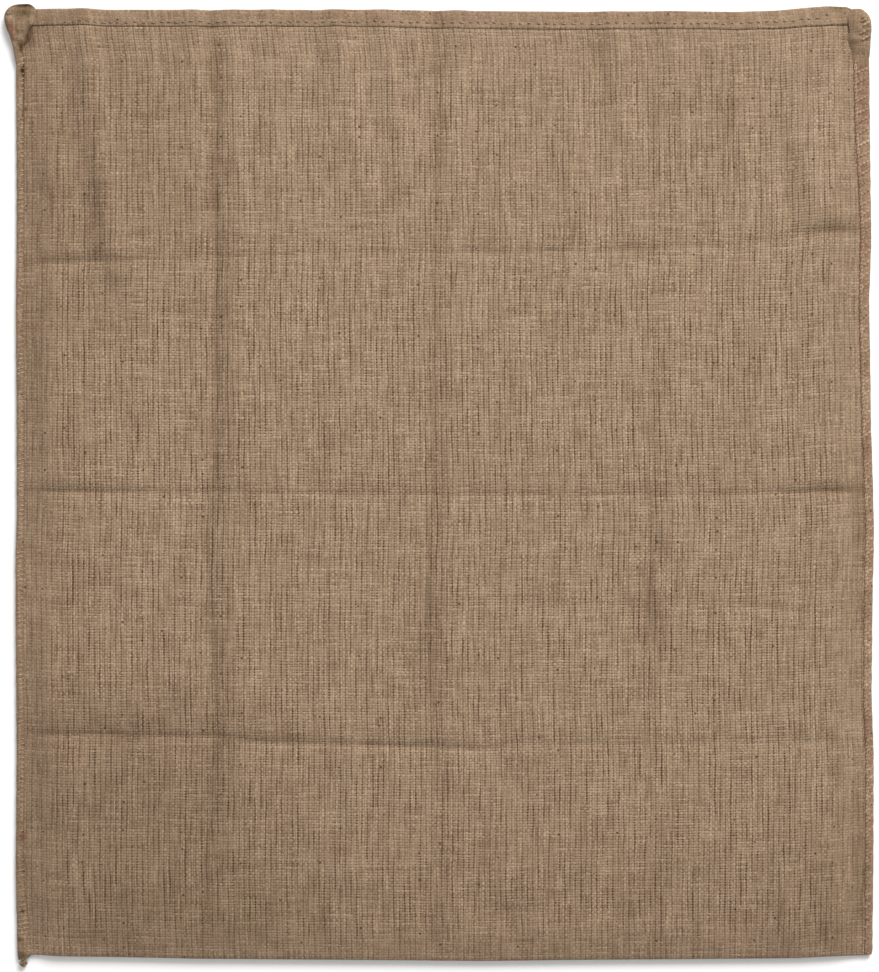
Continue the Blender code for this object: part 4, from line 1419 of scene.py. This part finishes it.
# name, route, turn, rises, step, radius, reach, high
BINDINGS = [
    ("left_binding", LEFT_ROUTE, STRAIGHT_TURN, SUNK, 5.2, 0.9, [(0.0, 7.0), (1.0, 7.0)],
     [(0.0, 14.2), (0.6, 12.6), (1.0, 12.8)]),
    ("right_binding", RIGHT_ROUTE, BACK_TURN, PROUD, 8.2, 1.6, [(0.0, 10.0), (0.4, 14.0), (1.0, 17.0)],
     [(0.0, 12.9), (0.3, 15.3), (0.7, 14.6), (1.0, 11.4)]),
]
for seed, (name, route, turn, rises, step, radius, reach, high) in enumerate(BINDINGS, 11):
    rim_at, length = rim_along(route, reach, high)
    turns = overcast(rim_at, 0.0, length - 1.6 * step, step, turn, radius, rises, seed)
    binding = strand_mesh(name, [turns], SIDES)
    mark_stains_and_shade(binding, 0.0, 0.3, seed)
    finish_piece(name, binding, twine)

# %% [markdown]
# ## Knot at the bottom corner
# The end of the sewing is tied off with an overhand knot, which is a trefoil pulled open at one
# place. Its two ends are the neck, which comes from the seam, and a tail that is tucked under.

# %% Knot
KNOT_MIDDLE = Vector((-461.4, -531.0, 4.3))
KNOT_SIZE = Vector((1.06, 0.74, 1.05))
KNOT_RADIUS = 1.65
OPEN_TURN = 0.35
KNOT_STEPS = 27
KNOT_NECK = [Vector((-462.4, -520.5, 4.4)), Vector((-462.0, -525.6, 4.6))]


def knot_path():
    """From the seam through the trefoil to its end, which is tucked under."""
    loop, neck = [], KNOT_NECK
    for n in range(KNOT_STEPS + 1):
        t = mix(OPEN_TURN, 2 * math.pi - OPEN_TURN, n / KNOT_STEPS)
        x, y = math.sin(t) + 2 * math.sin(2 * t), math.cos(t) - 2 * math.cos(2 * t)
        loop.append(KNOT_MIDDLE + Vector((x, y, -1.1 * math.sin(3 * t))) * KNOT_SIZE)
    if (loop[0] - neck[-1]).length > (loop[-1] - neck[-1]).length:
        loop.reverse()
    return [*neck, *loop]


knot = strand_mesh("end_knot", [Strand(smooth_path(knot_path(), 3), KNOT_RADIUS)], 10)
mark_stains_and_shade(knot, -0.5, -0.2, 4.0)
finish_piece("end_knot", knot, twine, ["twine_knot"])

# %% [markdown]
# ## Sewing of the hems
# The hems are held by a running stitch near their raw edge. Only short dashes of twine show,
# half sunk in the cloth. Each dash is a small arch that starts and ends inside the sheet.

# %% Running stitches
HEM_STITCH, HEM_STITCH_LONG = 9.5, 5.0
HEM_SEWN_AT = MOUTH - HEM_DEPTH + 4.0
HEM_SEWN_FROM = 36.0
HEM_TWINE = 0.55
ARCH = ((0.0, -0.6), (0.2, 0.2), (0.5, 0.45), (0.8, 0.2), (1.0, -0.6))


def hem_stitches(height, side, seed):
    """Short arches along the hem. side is 1 on the upper hem and -1 on the lower one."""
    chance = random.Random(seed)
    strands = []
    x = LEFT_SEAM.home + HEM_SEWN_FROM
    while x < RIGHT_SEAM.home - HEM_SEWN_FROM:
        long = HEM_STITCH_LONG * chance.uniform(0.7, 1.2)
        y = HEM_SEWN_AT + chance.uniform(-0.8, 0.8)
        points = []
        for share, rise in ARCH:
            across, along = lying_at(x + long * share, y)
            surface = height(x + long * share, y) + side * (HEM_STEP + SHEET / 2)
            points.append(Vector((across, along, surface + side * rise)))
        strands.append(Strand(smooth_path(points, 2), HEM_TWINE))
        x += HEM_STITCH * chance.uniform(0.85, 1.15)
    return strands


hem_sewing = strand_mesh("hem_sewing", hem_stitches(upper_z, 1, 31), 6)
mark_stains_and_shade(hem_sewing, -0.1, 0.1, 5.0)
finish_piece("hem_sewing", hem_sewing, twine)
